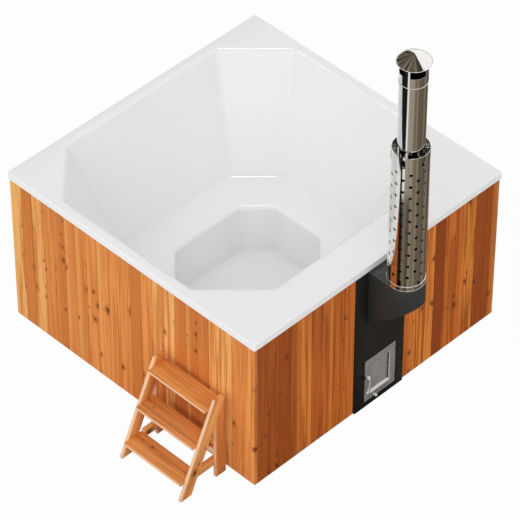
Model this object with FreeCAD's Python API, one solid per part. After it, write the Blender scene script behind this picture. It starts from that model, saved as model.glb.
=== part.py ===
import FreeCAD, Part
import math
import os

# Square wood-fired tub: a moulded liner in a casing of upright boards, a stove built into the front,
# its flue outside the rim, and a loose set of steps. Millimetres, Z up, origin on the ground at the
# middle of the tub. The stove is at the front (-Y) and the steps stand at the left (-X).

V = FreeCAD.Vector
UP = V(0, 0, 1)
TO_RIGHT = V(1, 0, 0)
TO_BACK = V(0, 1, 0)

# Liner
RIM_SIDE = 2000.0          # square rim, outside
RIM_TOP = 1120.0           # rim above the ground
RIM_LIP = 46.0             # turned-down edge of the rim
RIM_CORNER_R = 10.0
RIM_EDGE = 5.0             # edge taken off round the top of the rim
LINER_WALL = 6.0
DECK_STOVE = 240.0         # flat rim beside the stove
DECK_SIDE = 68.0           # flat rim on the other three sides
MOUTH_CHAMFER = 330.0      # cut corners of the octagon, along each side
MOUTH_CORNER_R = 50.0
WALL_BATTER = 298.0        # how far a wall leans in from mouth to bench
FOOT_CHAMFER = 205.0
FOOT_CORNER_R = 50.0
BENCH_SIDE = 217.0         # bench width at the left and right
BENCH_BACK = 233.0
BENCH_STOVE = 181.0
WELL_CHAMFER = 160.0
WELL_CORNER_R = 40.0
WELL_BATTER = 18.0         # how far the foot well narrows to its floor
FLOOR_CHAMFER = 145.0
EDGE_ROLL = 25.0           # rounding of the mouth, bench, well and floor edges
ROLL_STEPS = 2
BENCH_CLEAR = 5.0          # air between the stove and the underside of the bench

# Casing and frame
LIP_GAP = 2.0              # rim lip to the face of the boards
BOARD_THICK = 20.0
BOARD_PITCH = 90.0
BOARD_VEE = 2.0
BOARD_FOOT = 6.0           # boards and stove panel end this far above the ground
POST_SIDE = 70.0
RAIL_HEIGHT = 70.0
RAIL_DEPTH = 30.0
BEARER_WIDTH = 70.0
BEARER_HEIGHT = 74.0
BEARER_PITCH = 200.0
STUD_WIDTH = 60.0
STUD_DEPTH = 70.0
STUD_LAP = 25.0            # how far a stud reaches behind the stove panel

# Stove front and door
STOVE_X = 5.0              # middle of the stove
PANEL_WIDTH = 400.0
PANEL_SHEET = 3.0
PANEL_PROUD = 12.0         # panel face in front of the boards
PANEL_GAP = 1.0
DOOR_WIDTH = 250.0
DOOR_HEIGHT = 322.0
DOOR_FOOT = 58.0           # door above the ground
DOOR_SHEET = 4.0
DOOR_CORNER_R = 6.0
DOOR_LAP = 8.0             # door over the panel all round its opening
SEAL_GAP = 3.0             # door to panel, filled by the rope seal
SEAL_WIDTH = 6.0
EASE = 0.3                 # air between pieces that move past each other
WINDOW_WIDTH = 150.0
WINDOW_HEIGHT = 211.0
WINDOW_FOOT = 54.0         # window above the foot of the door
TRAY_BEVEL = 6.0           # sloping sides of the window recess
TRAY_SILL = 12.0           # sloping foot of the window recess
TRAY_DEPTH = 13.0
TRAY_SHEET = 2.0
GLASS_LAP = 10.0
GLASS_THICK = 5.0
CLIP_SIZE = 14.0
CLIP_SHEET = 2.0

# Air slide in the foot of the door
AIR_ROW = 25.0             # row of air holes above the foot of the door
AIR_HOLE_WIDTH = 10.0
AIR_HOLE_HEIGHT = 14.0
AIR_PITCH = 20.0
AIR_LEFT = 2
AIR_RIGHT = 5
AIR_TRAVEL = 12.0
AIR_SHEET = 2.0
AIR_MARGIN = 3.0           # slide beyond its holes
GUIDE_RIB = 4.0
GUIDE_LIP = 1.5
KNOB_OFFSET = 52.0         # knob left of the middle of the door
KNOB_STEM_R = 4.0
KNOB_R = 8.0
KNOB_REACH = 26.0
KNOB_LENGTH = 14.0

# Door hinges, lever and latch
HINGE_OUT = 8.5            # hinge axis beyond the door's edge
HINGE_BARREL_R = 8.0
HINGE_PIN_R = 4.0
HINGE_FIT = 0.05
HINGE_BARREL = 24.0        # length of each barrel
HINGE_INSET = 30.0         # hinge from the door's top and foot
LEVER_EDGE = 10.0          # lever spindle in from the door's left edge
LEVER_HEIGHT = 207.0       # lever spindle above the foot of the door
LEVER_REACH = 125.0
LEVER_STANDOFF = 20.0      # door face to the middle of the grip
SPINDLE_R = 5.0
LEVER_EYE_R = 11.0
LEVER_EYE = 12.0
GRIP_R = 6.0
TONGUE_REACH = 28.0
TONGUE_WIDTH = 12.0
TONGUE_SHEET = 4.0
KEEPER_LAP = 12.0          # keeper over the turned tongue
KEEPER_HEIGHT = 20.0
KEEPER_SHEET = 4.0
KEEPER_AIR = 2.5

# Firebox and water jacket
FIREBOX_DEPTH = 480.0
FIREBOX_SHEET = 4.0
JACKET_GAP = 28.0          # water round the firebox
JACKET_SHEET = 3.0
STOVE_FOOT = 40.0          # square stove feet
STOVE_FOOT_INSET = 25.0
GRATE_THICK = 18.0
GRATE_BAR = 14.0
GRATE_SLOT = 12.0
GRATE_MARGIN = 20.0        # grate to the firebox walls
RISER_WIDTH = 180.0
RISER_DEPTH = 120.0
RISER_SHEET = 3.0
RISER_BACK = 15.0          # riser behind the stove panel
RISER_HEAD = 985.0
FLUE_PORT_R = 70.0
FLUE_PORT_DROP = 90.0      # flue port below the head of the riser
FLUE_PORT_LIP = 20.0       # spigot into the flue box

# Flue, heat guard and cap
FLUE_REACH = 179.0         # flue axis in front of the panel
FLUE_R = 78.0
FLUE_SHEET = 2.0
FLUE_FIT = 0.5
FLUE_INSERT = 60.0         # flue pipe below the top of the flue box
FLUE_FLANGE_R = 93.0
FLUE_FLANGE = 3.0
GUARD_R = 108.5
GUARD_SHEET = 1.5
GUARD_HEIGHT = 980.0
GUARD_COLUMNS = 16
GUARD_HOLE_R = 10.5
GUARD_HOLE_SIDES = 6
GUARD_HOLE_PITCH = 84.0
GUARD_PLAIN = 105.0        # plain band at each end of the guard, to the first hole
TAB_COUNT = 6
TAB_WIDTH = 18.0
TAB_HEIGHT = 64.0
TAB_EDGE = 12.0            # tab slots to the end of the guard
RING_HEIGHT = 35.0
RING_SHEET = 2.0
RING_FIT = 0.5
BOX_SHEET = 3.0
BOX_DROP = 398.0           # flue box down the panel
BOX_RISE = 41.0            # slope of its underside, degrees
CAP_SLEEVE_LAP = 60.0      # flue pipe inside the sleeve
CAP_SLEEVE_SHEET = 1.5
CAP_BAND = 67.0            # plain part of the sleeve, below its windows
CAP_WINDOW = 63.0          # windows of the sleeve, below the edge of the cone
CAP_STRAPS = 4
CAP_STRAP_ANGLE = 24.0
CAP_TURN = 28.0            # first window of the sleeve, round from the right
CAP_R = 99.0
CAP_RISE = 55.0
CAP_SHEET = 1.5
CAP_BASE = 1575.0          # edge of the cone above the flue box

# Water pipes between jacket and liner
PIPE_R = 21.0
PIPE_WALL = 3.0
PIPE_FIT = 0.3
PIPE_SET = 351.0           # upper pipe behind the stove panel
PIPE_UPPER_X = -90.0       # upper pipe from the middle of the stove
PIPE_LOWER_X = 60.0
PORT_UPPER = 620.0
PORT_LOWER = 150.0
PORT_R = 36.0
PORT_THICK = 8.0
PORT_STUB = 12.0

# Drain
DRAIN_X = 250.0
DRAIN_PIPE_R = 25.0
DRAIN_WALL = 4.0
DRAIN_END = 30.0           # closed end of the pipe past the drain
DRAIN_FIT = 0.3
DRAIN_FLANGE_R = 38.0
DRAIN_FLANGE = 4.0
DRAIN_TAIL = 30.0
DRAIN_TAIL_WALL = 3.5
DRAIN_SLOTS = 3
DRAIN_SLOT_WIDTH = 6.0
DRAIN_SLOT_PITCH = 10.0
DRAIN_SLOT_LENGTH = 20.0
DRAIN_SLEEVE = 2.0         # drain pipe to the board that it passes
VALVE_BODY_R = 33.0
VALVE_BODY = 64.0
SPIGOT_R = 24.0
SPIGOT = 45.0
STEM_R = 12.0
STEM_RISE = 10.0
TAP_LENGTH = 110.0
TAP_WIDTH = 18.0
TAP_SHEET = 6.0

# Steps
STEP_Y = -540.0            # middle of the steps, along the left side
STEP_WIDTH = 500.0
STEP_BOARD = 22.0          # thickness of every board of the steps
STEP_SETBACK = 28.0        # steps to the boards of the tub
STEP_HEAD = 55.0           # stringers above the top tread
STEP_TOP_R = 30.0
STRINGER_WIDTH = 78.0
LEG_WIDTH = 78.0
TREADS = ("bottom", "middle", "top")
TREAD_DEPTH = 140.0
TREAD_FIRST = 120.0        # first tread above the ground
TREAD_RISE = 220.0
TREAD_RUN = 100.0
TREAD_NOSE = 36.0          # tread in front of the stringers
TREAD_EDGE_R = 5.0
SIDE_RAIL_FOOT = 78.0
SIDE_RAIL_HEIGHT = 60.0
SIDE_RAIL_LAP = 80.0       # side rail under the bottom tread
CROSS_RAIL_FOOT = 172.0
CROSS_RAIL_HEIGHT = 45.0

# Places that follow from the sizes above
rim_half = RIM_SIDE / 2
case_half = rim_half - LINER_WALL - LIP_GAP
frame_half = case_half - BOARD_THICK
lip_foot = RIM_TOP - RIM_LIP
deck_under = RIM_TOP - LINER_WALL
floor_top = BEARER_HEIGHT + LINER_WALL
panel_face = -(case_half + PANEL_PROUD)
panel_back = panel_face + PANEL_SHEET
panel_left = STOVE_X - PANEL_WIDTH / 2
panel_right = STOVE_X + PANEL_WIDTH / 2
door_left = STOVE_X - DOOR_WIDTH / 2
door_right = STOVE_X + DOOR_WIDTH / 2
door_head = DOOR_FOOT + DOOR_HEIGHT
door_back = panel_face - SEAL_GAP
door_face = door_back - DOOR_SHEET
fire_half = DOOR_WIDTH / 2 - DOOR_LAP
fire_foot = DOOR_FOOT + DOOR_LAP
fire_head = door_head - DOOR_LAP
fire_back = panel_back + FIREBOX_DEPTH
jacket_wall = FIREBOX_SHEET + JACKET_GAP + JACKET_SHEET
jacket_half = fire_half + jacket_wall
jacket_foot = fire_foot - jacket_wall
jacket_head = fire_head + jacket_wall
jacket_back = fire_back + jacket_wall
bench_top = jacket_head + BENCH_CLEAR + LINER_WALL
box_r = GUARD_R + RING_FIT + RING_SHEET
box_top = lip_foot
flue_y = panel_face - FLUE_REACH
sleeve_foot = CAP_BASE - CAP_WINDOW - CAP_BAND
port_z = RISER_HEAD - FLUE_PORT_DROP
drain_y = -BEARER_PITCH / 2
drain_z = BEARER_HEIGHT / 2

# The octagon of the liner at its mouth, wall foot, well and floor:
# half width, front, back, length of the cut corner, rounding of the corners
mouth = (rim_half - DECK_SIDE, DECK_STOVE - rim_half, rim_half - DECK_SIDE, MOUTH_CHAMFER, MOUTH_CORNER_R)
foot = (mouth[0] - WALL_BATTER, mouth[1] + WALL_BATTER, mouth[2] - WALL_BATTER, FOOT_CHAMFER, FOOT_CORNER_R)
well = (foot[0] - BENCH_SIDE, foot[1] + BENCH_STOVE, foot[2] - BENCH_BACK, WELL_CHAMFER, WELL_CORNER_R)
floor = (well[0] - WELL_BATTER, well[1] + WELL_BATTER, well[2] - WELL_BATTER, FLOOR_CHAMFER, WELL_CORNER_R)


def box(x0, x1, y0, y1, z0, z1):
    return Part.makeBox(x1 - x0, y1 - y0, z1 - z0, V(x0, y0, z0))


def rod(start, axis, radius, length):
    return Part.makeCylinder(radius, length, start, axis)


def tube(start, axis, outer, inner, length):
    return rod(start, axis, outer, length).cut(rod(start, axis, inner, length))


def prism(points, run):
    return Part.Face(Part.makePolygon(points + points[:1])).extrude(run)


def fused(shapes):
    return shapes[0].fuse(shapes[1:]).removeSplitter()


def save(node, shape):
    shape.exportStep("parts/" + node + ".step")


def blend(low, high, share):
    return tuple(a + (b - a) * share for a, b in zip(low, high))


def octagon_at(inset):
    """The liner's octagon where its skin has come in this far from the mouth."""
    at_foot = WALL_BATTER
    at_well = WALL_BATTER + BENCH_SIDE
    if inset <= at_foot:
        return blend(mouth, foot, inset / WALL_BATTER)
    if inset <= at_well:
        return blend(foot, well, (inset - at_foot) / BENCH_SIDE)
    return blend(well, floor, (inset - at_well) / WELL_BATTER)


def grown(octagon, extra):
    half, front, back, cut, radius = octagon
    return (half + extra, front - extra, back + extra, cut + extra * (2 - math.sqrt(2)), radius + extra)


def octagon_wire(octagon, z):
    half, front, back, cut, radius = octagon
    corners = [V(half, front + cut, z), V(half, back - cut, z), V(half - cut, back, z)]
    corners += [V(cut - half, back, z), V(-half, back - cut, z), V(-half, front + cut, z)]
    corners += [V(cut - half, front, z), V(half - cut, front, z)]
    turn = math.pi / 4
    reach = radius * math.tan(turn / 2)
    bulge = radius / math.cos(turn / 2) - radius
    starts = []
    arcs = []
    for k, corner in enumerate(corners):
        into = (corner - corners[k - 1]).normalize()
        out = (corners[(k + 1) % 8] - corner).normalize()
        inward = (out - into).normalize()
        starts.append(corner - into * reach)
        arcs.append(Part.Arc(starts[k], corner + inward * bulge, corner + out * reach))
    edges = []
    for k, arc in enumerate(arcs):
        edges.append(arc.toShape())
        edges.append(Part.LineSegment(arc.EndPoint, starts[(k + 1) % 8]).toShape())
    return Part.Wire(edges)


def rolled(before, corner, after):
    """Points on the rounding of one corner of the liner's profile."""
    to_before = (before - corner).normalize()
    to_after = (after - corner).normalize()
    half_angle = to_before.getAngle(to_after) / 2
    centre = corner + (to_before + to_after).normalize() * (EDGE_ROLL / math.sin(half_angle))
    first = corner + to_before * (EDGE_ROLL / math.tan(half_angle)) - centre
    last = corner + to_after * (EDGE_ROLL / math.tan(half_angle)) - centre
    turn = math.pi - 2 * half_angle
    points = []
    for k in range(ROLL_STEPS + 1):
        share = k / ROLL_STEPS
        points.append(centre + first * (math.sin((1 - share) * turn) / math.sin(turn))
                      + last * (math.sin(share * turn) / math.sin(turn)))
    return points


def basin(extra):
    """The inside of the basin as one solid, or its outside where extra is the wall."""
    corners = [V(0, 0, RIM_TOP), V(WALL_BATTER, 0, bench_top), V(WALL_BATTER + BENCH_SIDE, 0, bench_top)]
    corners.append(V(WALL_BATTER + BENCH_SIDE + WELL_BATTER, 0, floor_top))
    ends = [V(-DECK_SIDE, 0, RIM_TOP)] + corners + [V(corners[-1].x + foot[0], 0, floor_top)]
    wires = []
    for k in range(1, len(ends) - 1):
        for point in rolled(ends[k - 1], ends[k], ends[k + 1]):
            wires.append(octagon_wire(grown(octagon_at(point.x), extra), point.z - extra))
    return Part.makeLoft(wires, True, True)


def rim_block(half, z0, z1, radius):
    block = box(-half, half, -half, half, z0, z1)
    return block.makeFillet(radius, [e for e in block.Edges if abs(e.tangentAt(0).z) > 0.99])


def wall_normal(batter, drop):
    """Into the tub, square to the front wall of the liner or of its well."""
    return V(0, drop, batter).normalize()


def front_wall_y(octagon, batter, top, low, z):
    return octagon[1] + batter * (top - z) / (top - low)


upper_wall_y = front_wall_y(mouth, WALL_BATTER, RIM_TOP, bench_top, PORT_UPPER)
lower_wall_y = front_wall_y(well, WELL_BATTER, bench_top, floor_top, PORT_LOWER)
upper_port = V(STOVE_X + PIPE_UPPER_X, upper_wall_y, PORT_UPPER)
lower_port = V(STOVE_X + PIPE_LOWER_X, lower_wall_y, PORT_LOWER)


def pipe_bore(port):
    """The hole for a water pipe, right through the wall at a port."""
    return rod(port - TO_BACK * (4 * PIPE_R), TO_BACK, PIPE_R + PIPE_FIT, 8 * PIPE_R)


def make_liner():
    rim = rim_block(rim_half, lip_foot, RIM_TOP, RIM_CORNER_R)
    edge = [e for e in rim.Edges if min(v.Z for v in e.Vertexes) > RIM_TOP - 0.01]
    rim = rim.makeChamfer(RIM_EDGE, edge)
    rim = rim.cut(rim_block(rim_half - LINER_WALL, lip_foot, deck_under, RIM_CORNER_R - LINER_WALL))
    liner = rim.fuse(basin(LINER_WALL)).cut(basin(0))
    drain = rod(V(DRAIN_X, drain_y, 0), UP, DRAIN_PIPE_R - DRAIN_WALL, bench_top)
    return liner.cut([drain, pipe_bore(upper_port), pipe_bore(lower_port)])


def on_side(side, along, out):
    """A point in plan, by its place along one side of the casing and its distance out from the middle."""
    places = {"left": V(-out, along, 0), "right": V(out, along, 0)}
    places.update({"front": V(along, -out, 0), "back": V(along, out, 0)})
    return places[side]


def board_row(side, start, end):
    """Upright boards side by side, each with its front edges taken off to leave a vee at the joint."""
    count = max(1, round((end - start) / BOARD_PITCH))
    pitch = (end - start) / count
    boards = []
    for k in range(count):
        low = start + k * pitch
        high = low + pitch
        plan = [(low, frame_half), (low, case_half - BOARD_VEE), (low + BOARD_VEE, case_half)]
        plan += [(high - BOARD_VEE, case_half), (high, case_half - BOARD_VEE), (high, frame_half)]
        points = [on_side(side, along, out) + V(0, 0, BOARD_FOOT) for along, out in plan]
        boards.append(prism(points, V(0, 0, deck_under - BOARD_FOOT)))
    return boards


def make_cladding():
    pipe_hole = rod(V(0, drain_y, drain_z), TO_RIGHT, DRAIN_PIPE_R + DRAIN_SLEEVE, RIM_SIDE)
    right = [board.cut(pipe_hole) for board in board_row("right", -case_half, case_half)]
    rows = {"cladding_left": board_row("left", -case_half, case_half), "cladding_right": right}
    rows["cladding_back"] = board_row("back", -frame_half, frame_half)
    rows["cladding_front_left"] = board_row("front", -frame_half, panel_left - PANEL_GAP)
    rows["cladding_front_right"] = board_row("front", panel_right + PANEL_GAP, frame_half)
    for node, boards in rows.items():
        save(node, Part.makeCompound(boards))


def make_frame():
    post_in = frame_half - POST_SIDE
    rail_in = frame_half - RAIL_DEPTH
    posts = []
    for x in (-frame_half, post_in):
        for y in (-frame_half, post_in):
            posts.append(box(x, x + POST_SIDE, y, y + POST_SIDE, 0, deck_under))
    save("corner_posts", Part.makeCompound(posts))
    stud_edges = {"left": panel_left + STUD_LAP - STUD_WIDTH, "right": panel_right - STUD_LAP}
    for level, z in (("top", lip_foot - RAIL_HEIGHT), ("bottom", BEARER_HEIGHT)):
        head = z + RAIL_HEIGHT
        save(level + "_rail_left", box(-frame_half, -rail_in, -post_in, post_in, z, head))
        save(level + "_rail_right", box(rail_in, frame_half, -post_in, post_in, z, head))
        save(level + "_rail_back", box(-post_in, post_in, rail_in, frame_half, z, head))
    z = lip_foot - RAIL_HEIGHT
    save("top_rail_front", box(-post_in, post_in, -frame_half, -rail_in, z, lip_foot))
    z = BEARER_HEIGHT
    left = box(-post_in, stud_edges["left"], -frame_half, -rail_in, z, z + RAIL_HEIGHT)
    right = box(stud_edges["right"] + STUD_WIDTH, post_in, -frame_half, -rail_in, z, z + RAIL_HEIGHT)
    save("bottom_rail_front", Part.makeCompound([left, right]))
    for side, x in stud_edges.items():
        stud = box(x, x + STUD_WIDTH, -frame_half, STUD_DEPTH - frame_half, 0, lip_foot - RAIL_HEIGHT)
        save("stove_stud_" + side, stud)
    bearers = []
    for y in (-BEARER_PITCH, 0, BEARER_PITCH):
        bearer = box(-frame_half, frame_half, y - BEARER_WIDTH / 2, y + BEARER_WIDTH / 2, 0, BEARER_HEIGHT)
        bearers.append(bearer)
    save("base_bearers", Part.makeCompound(bearers))


def make_panel():
    z0, z1 = BOARD_FOOT, lip_foot - PANEL_GAP
    sheet = box(panel_left, panel_right, panel_face, panel_back, z0, z1)
    left = box(panel_left, panel_left + PANEL_SHEET, panel_back, -frame_half, z0, z1)
    right = box(panel_right - PANEL_SHEET, panel_right, panel_back, -frame_half, z0, z1)
    panel = fused([sheet, left, right])
    opening = box(STOVE_X - fire_half, STOVE_X + fire_half, panel_face, panel_back, fire_foot, fire_head)
    port = rod(V(STOVE_X, panel_face, port_z), TO_BACK, FLUE_PORT_R + FLUE_FIT, PANEL_SHEET)
    return panel.cut([opening, port])


riser_front = panel_back + RISER_BACK


def riser_core(inset, z0, z1):
    half = RISER_WIDTH / 2 - inset
    front = riser_front + inset
    back = riser_front + RISER_DEPTH - inset
    return box(STOVE_X - half, STOVE_X + half, front, back, z0, z1)


def fire_shell(extra, front, back):
    half = fire_half + extra
    return box(STOVE_X - half, STOVE_X + half, front, back, fire_foot - extra, fire_head + extra)


def make_stove():
    flange = fire_shell(jacket_wall, panel_back, panel_back + FIREBOX_SHEET)
    firebox = flange.fuse(fire_shell(FIREBOX_SHEET, panel_back, fire_back + FIREBOX_SHEET))
    firebox = firebox.cut([fire_shell(0, panel_back, fire_back), riser_core(0, fire_head, jacket_head)])
    save("firebox", firebox.removeSplitter())
    jacket = fire_shell(jacket_wall, panel_back + FIREBOX_SHEET, jacket_back)
    water = fire_shell(FIREBOX_SHEET + JACKET_GAP, panel_back + FIREBOX_SHEET, jacket_back - JACKET_SHEET)
    ports = [riser_core(0, fire_head, jacket_head)]
    upper = V(upper_port.x, panel_back + PIPE_SET, fire_head)
    lower = V(lower_port.x, fire_back, PORT_LOWER)
    ports.append(rod(upper, UP, PIPE_R - PIPE_WALL, jacket_wall))
    ports.append(rod(lower, TO_BACK, PIPE_R - PIPE_WALL, jacket_wall))
    save("water_jacket", jacket.cut([water] + ports))
    feet = []
    far = STOVE_FOOT_INSET + STOVE_FOOT
    for x in (STOVE_X - jacket_half + STOVE_FOOT_INSET, STOVE_X + jacket_half - far):
        for y in (panel_back + FIREBOX_SHEET + STOVE_FOOT_INSET, jacket_back - far):
            feet.append(box(x, x + STOVE_FOOT, y, y + STOVE_FOOT, 0, jacket_foot))
    save("stove_feet", Part.makeCompound(feet))
    riser = riser_core(0, fire_head, RISER_HEAD)
    spigot_start = V(STOVE_X, panel_face - FLUE_PORT_LIP, port_z)
    spigot_run = riser_front + RISER_SHEET - spigot_start.y
    riser = riser.fuse(rod(spigot_start, TO_BACK, FLUE_PORT_R, spigot_run))
    hollow = riser_core(RISER_SHEET, fire_head, RISER_HEAD - RISER_SHEET)
    bore = rod(spigot_start, TO_BACK, FLUE_PORT_R - RISER_SHEET, spigot_run)
    save("smoke_riser", riser.cut([hollow, bore]))
    half = fire_half - GRATE_MARGIN
    front, back = panel_back + GRATE_MARGIN, fire_back - GRATE_MARGIN
    grate = box(STOVE_X - half, STOVE_X + half, front, back, fire_foot, fire_foot + GRATE_THICK)
    count = int((2 * half - GRATE_BAR) / (GRATE_BAR + GRATE_SLOT))
    start = STOVE_X - (count * (GRATE_BAR + GRATE_SLOT) - GRATE_BAR) / 2
    slots = []
    for k in range(count):
        x = start + k * (GRATE_BAR + GRATE_SLOT)
        slot = box(x, x + GRATE_SLOT, front + GRATE_BAR, back - GRATE_BAR, fire_foot, fire_foot + GRATE_THICK)
        slots.append(slot)
    save("grate", grate.cut(slots))


def mitred_pipe(start, corner, end, radius):
    """A pipe that rises from start and turns back at corner, with its two lengths joined on the slant."""
    side = 2 * radius
    reach = end.y - start.y + corner.z - start.z
    slant = [corner + V(-side, -reach, reach), corner + V(-side, reach, -reach)]
    below = prism(slant + [corner + V(-side, -reach, -reach)], V(2 * side, 0, 0))
    above = prism(slant + [corner + V(-side, reach, reach)], V(2 * side, 0, 0))
    rise = rod(start, UP, radius, corner.z + side - start.z).common(below)
    run = rod(corner - TO_BACK * side, TO_BACK, radius, end.y + side - corner.y).common(above)
    return rise.fuse(run)


def make_water_pipes():
    start = V(upper_port.x, panel_back + PIPE_SET, jacket_head)
    corner = V(start.x, start.y, PORT_UPPER)
    end = upper_port + TO_BACK * PORT_STUB
    upper = mitred_pipe(start, corner, end, PIPE_R).cut(mitred_pipe(start, corner, end, PIPE_R - PIPE_WALL))
    save("water_pipe_upper", upper)
    start = V(lower_port.x, jacket_back, PORT_LOWER)
    length = lower_port.y + PORT_STUB - jacket_back
    save("water_pipe_lower", tube(start, TO_BACK, PIPE_R, PIPE_R - PIPE_WALL, length))
    upper_in = wall_normal(WALL_BATTER, RIM_TOP - bench_top)
    lower_in = wall_normal(WELL_BATTER, bench_top - floor_top)
    rings = []
    for port, inward in ((upper_port, upper_in), (lower_port, lower_in)):
        rings.append(rod(port, inward, PORT_R, PORT_THICK).cut(pipe_bore(port)))
    save("water_ports", Part.makeCompound(rings))


def make_flue():
    axis = V(STOVE_X, flue_y, box_top)
    low = box_top - BOX_DROP
    slope = math.tan(math.radians(BOX_RISE))

    def d_block(inset, z0, z1):
        half = box_r - inset
        back = box(STOVE_X - half, STOVE_X + half, flue_y, panel_face, z0, z1)
        return back.fuse(rod(V(STOVE_X, flue_y, z0), UP, half, z1 - z0)).removeSplitter()

    def above_slope(lift):
        front = flue_y - 2 * box_r
        rise = slope * (panel_face - front)
        foot_z = low + lift
        x = STOVE_X - 2 * box_r
        points = [V(x, panel_face, foot_z), V(x, front, foot_z + rise)]
        points += [V(x, front, box_top + rise), V(x, panel_face, box_top + rise)]
        return prism(points, V(4 * box_r, 0, 0))

    shell = d_block(0, low, box_top).common(above_slope(0))
    lift = BOX_SHEET * math.hypot(1, slope)
    hollow = d_block(BOX_SHEET, low, box_top - BOX_SHEET).common(above_slope(lift))
    hole = rod(axis - UP * BOX_SHEET, UP, FLUE_R + FLUE_FIT, BOX_SHEET)
    save("flue_box", shell.cut([hollow, hole]))
    save("flue_collar", tube(axis, UP, box_r, box_r - RING_SHEET, RING_HEIGHT))
    pipe_foot = axis - UP * FLUE_INSERT
    pipe_top = sleeve_foot + CAP_SLEEVE_LAP
    pipe = rod(pipe_foot, UP, FLUE_R, pipe_top + FLUE_INSERT)
    pipe = pipe.fuse(rod(axis, UP, FLUE_FLANGE_R, FLUE_FLANGE))
    save("flue_pipe", pipe.cut(rod(pipe_foot, UP, FLUE_R - FLUE_SHEET, pipe_top + FLUE_INSERT)))
    sleeve_in = FLUE_R + FLUE_FIT
    sleeve_out = sleeve_in + CAP_SLEEVE_SHEET
    base = axis + UP * CAP_BASE
    sheet_drop = CAP_SHEET * math.hypot(1, CAP_RISE / CAP_R)
    cone = Part.makeCone(CAP_R, 0, CAP_RISE, base, UP)
    under_cone = Part.makeCone(CAP_R - sheet_drop * CAP_R / CAP_RISE, 0, CAP_RISE - sheet_drop, base, UP)
    save("rain_cap", cone.cut(under_cone))
    sleeve_run = CAP_BASE + CAP_RISE - sleeve_foot
    sleeve = tube(axis + UP * sleeve_foot, UP, sleeve_out, sleeve_in, sleeve_run)
    sleeve = sleeve.common(fused([rod(axis, UP, CAP_R, CAP_BASE), under_cone]))
    shoulder = tube(axis + UP * pipe_top, UP, sleeve_in, FLUE_R - FLUE_SHEET, FLUE_FLANGE)
    window_foot = axis + UP * (CAP_BASE - CAP_WINDOW)
    window = Part.makeCylinder(CAP_R, sleeve_run, window_foot, UP, 360 / CAP_STRAPS - CAP_STRAP_ANGLE)
    windows = []
    for k in range(CAP_STRAPS):
        opening = window.copy()
        opening.rotate(axis, UP, 360 / CAP_STRAPS * k + CAP_TURN)
        windows.append(opening)
    save("cap_sleeve", sleeve.fuse(shoulder).cut(windows).removeSplitter())


def make_heat_guard():
    """A rolled sheet with staggered columns of holes, and tabs bent in from slots to hold the flue."""
    axis = V(STOVE_X, flue_y, box_top)
    inner = GUARD_R - GUARD_SHEET
    guard = tube(axis, UP, GUARD_R, inner, GUARD_HEIGHT)
    cutters = []
    column_step = 360 / GUARD_COLUMNS
    corners = []
    for k in range(GUARD_HOLE_SIDES):
        angle = 2 * math.pi * (k + 0.5) / GUARD_HOLE_SIDES
        corners.append(V(inner - GUARD_SHEET, math.cos(angle) * GUARD_HOLE_R, math.sin(angle) * GUARD_HOLE_R))
    punch = prism(corners, V(3 * GUARD_SHEET, 0, 0))
    for column in range(GUARD_COLUMNS):
        z = GUARD_PLAIN + (column % 2) * GUARD_HOLE_PITCH / 2
        while z <= GUARD_HEIGHT - GUARD_PLAIN:
            hole = punch.copy()
            hole.rotate(V(), UP, column * column_step)
            hole.translate(axis + UP * z)
            cutters.append(hole)
            z += GUARD_HOLE_PITCH
    tabs = []
    edge = TAB_WIDTH / 2
    slot = box(inner - GUARD_SHEET, GUARD_R + GUARD_SHEET, -edge, edge, 0, TAB_HEIGHT)
    tab = box(FLUE_R + EASE, GUARD_R - GUARD_SHEET / 2, -edge - GUARD_SHEET, -edge, 0, TAB_HEIGHT)
    for z in (TAB_EDGE, GUARD_HEIGHT - TAB_EDGE - TAB_HEIGHT):
        for k in range(TAB_COUNT):
            for shape, group in ((slot, cutters), (tab, tabs)):
                copy = shape.copy()
                copy.rotate(V(), UP, 360 / TAB_COUNT * k + column_step)
                copy.translate(axis + UP * z)
                group.append(copy)
    return guard.cut(cutters).fuse(tabs)


def window_rect(extra_side, extra_foot, extra_head, y):
    half = WINDOW_WIDTH / 2 + extra_side
    z0 = DOOR_FOOT + WINDOW_FOOT - extra_foot
    z1 = DOOR_FOOT + WINDOW_FOOT + WINDOW_HEIGHT + extra_head
    x0, x1 = STOVE_X - half, STOVE_X + half
    points = [V(x0, y, z0), V(x1, y, z0), V(x1, y, z1), V(x0, y, z1)]
    return Part.makePolygon(points + points[:1])


def window_block(extra, y0, y1):
    return Part.Face(window_rect(extra, extra, extra, y0)).extrude(V(0, y1 - y0, 0))


def window_recess(extra):
    wide = window_rect(TRAY_BEVEL + extra, TRAY_SILL + extra, TRAY_BEVEL + extra, door_face)
    narrow = window_rect(extra, extra, extra, door_face + TRAY_DEPTH)
    return Part.makeLoft([wide, narrow], True, True)


tray_back = door_face + TRAY_DEPTH + TRAY_SHEET
glass_back = tray_back + GLASS_THICK
air_z = DOOR_FOOT + AIR_ROW
knob_x = STOVE_X - KNOB_OFFSET
air_half = AIR_HOLE_HEIGHT / 2 + AIR_MARGIN
air_y = door_back + EASE
slot_start = knob_x - KNOB_STEM_R - EASE
slot_end = knob_x + KNOB_STEM_R + AIR_TRAVEL + EASE
air_first = slot_start - AIR_MARGIN - AIR_HOLE_WIDTH - (AIR_LEFT - 1) * AIR_PITCH
air_next = slot_end + AIR_TRAVEL
air_end = air_next + (AIR_RIGHT - 1) * AIR_PITCH + AIR_HOLE_WIDTH


def air_holes(y0, y1):
    starts = [air_first + k * AIR_PITCH for k in range(AIR_LEFT)]
    starts += [air_next + k * AIR_PITCH for k in range(AIR_RIGHT)]
    z0, z1 = air_z - AIR_HOLE_HEIGHT / 2, air_z + AIR_HOLE_HEIGHT / 2
    return [box(x, x + AIR_HOLE_WIDTH, y0, y1, z0, z1) for x in starts]


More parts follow.
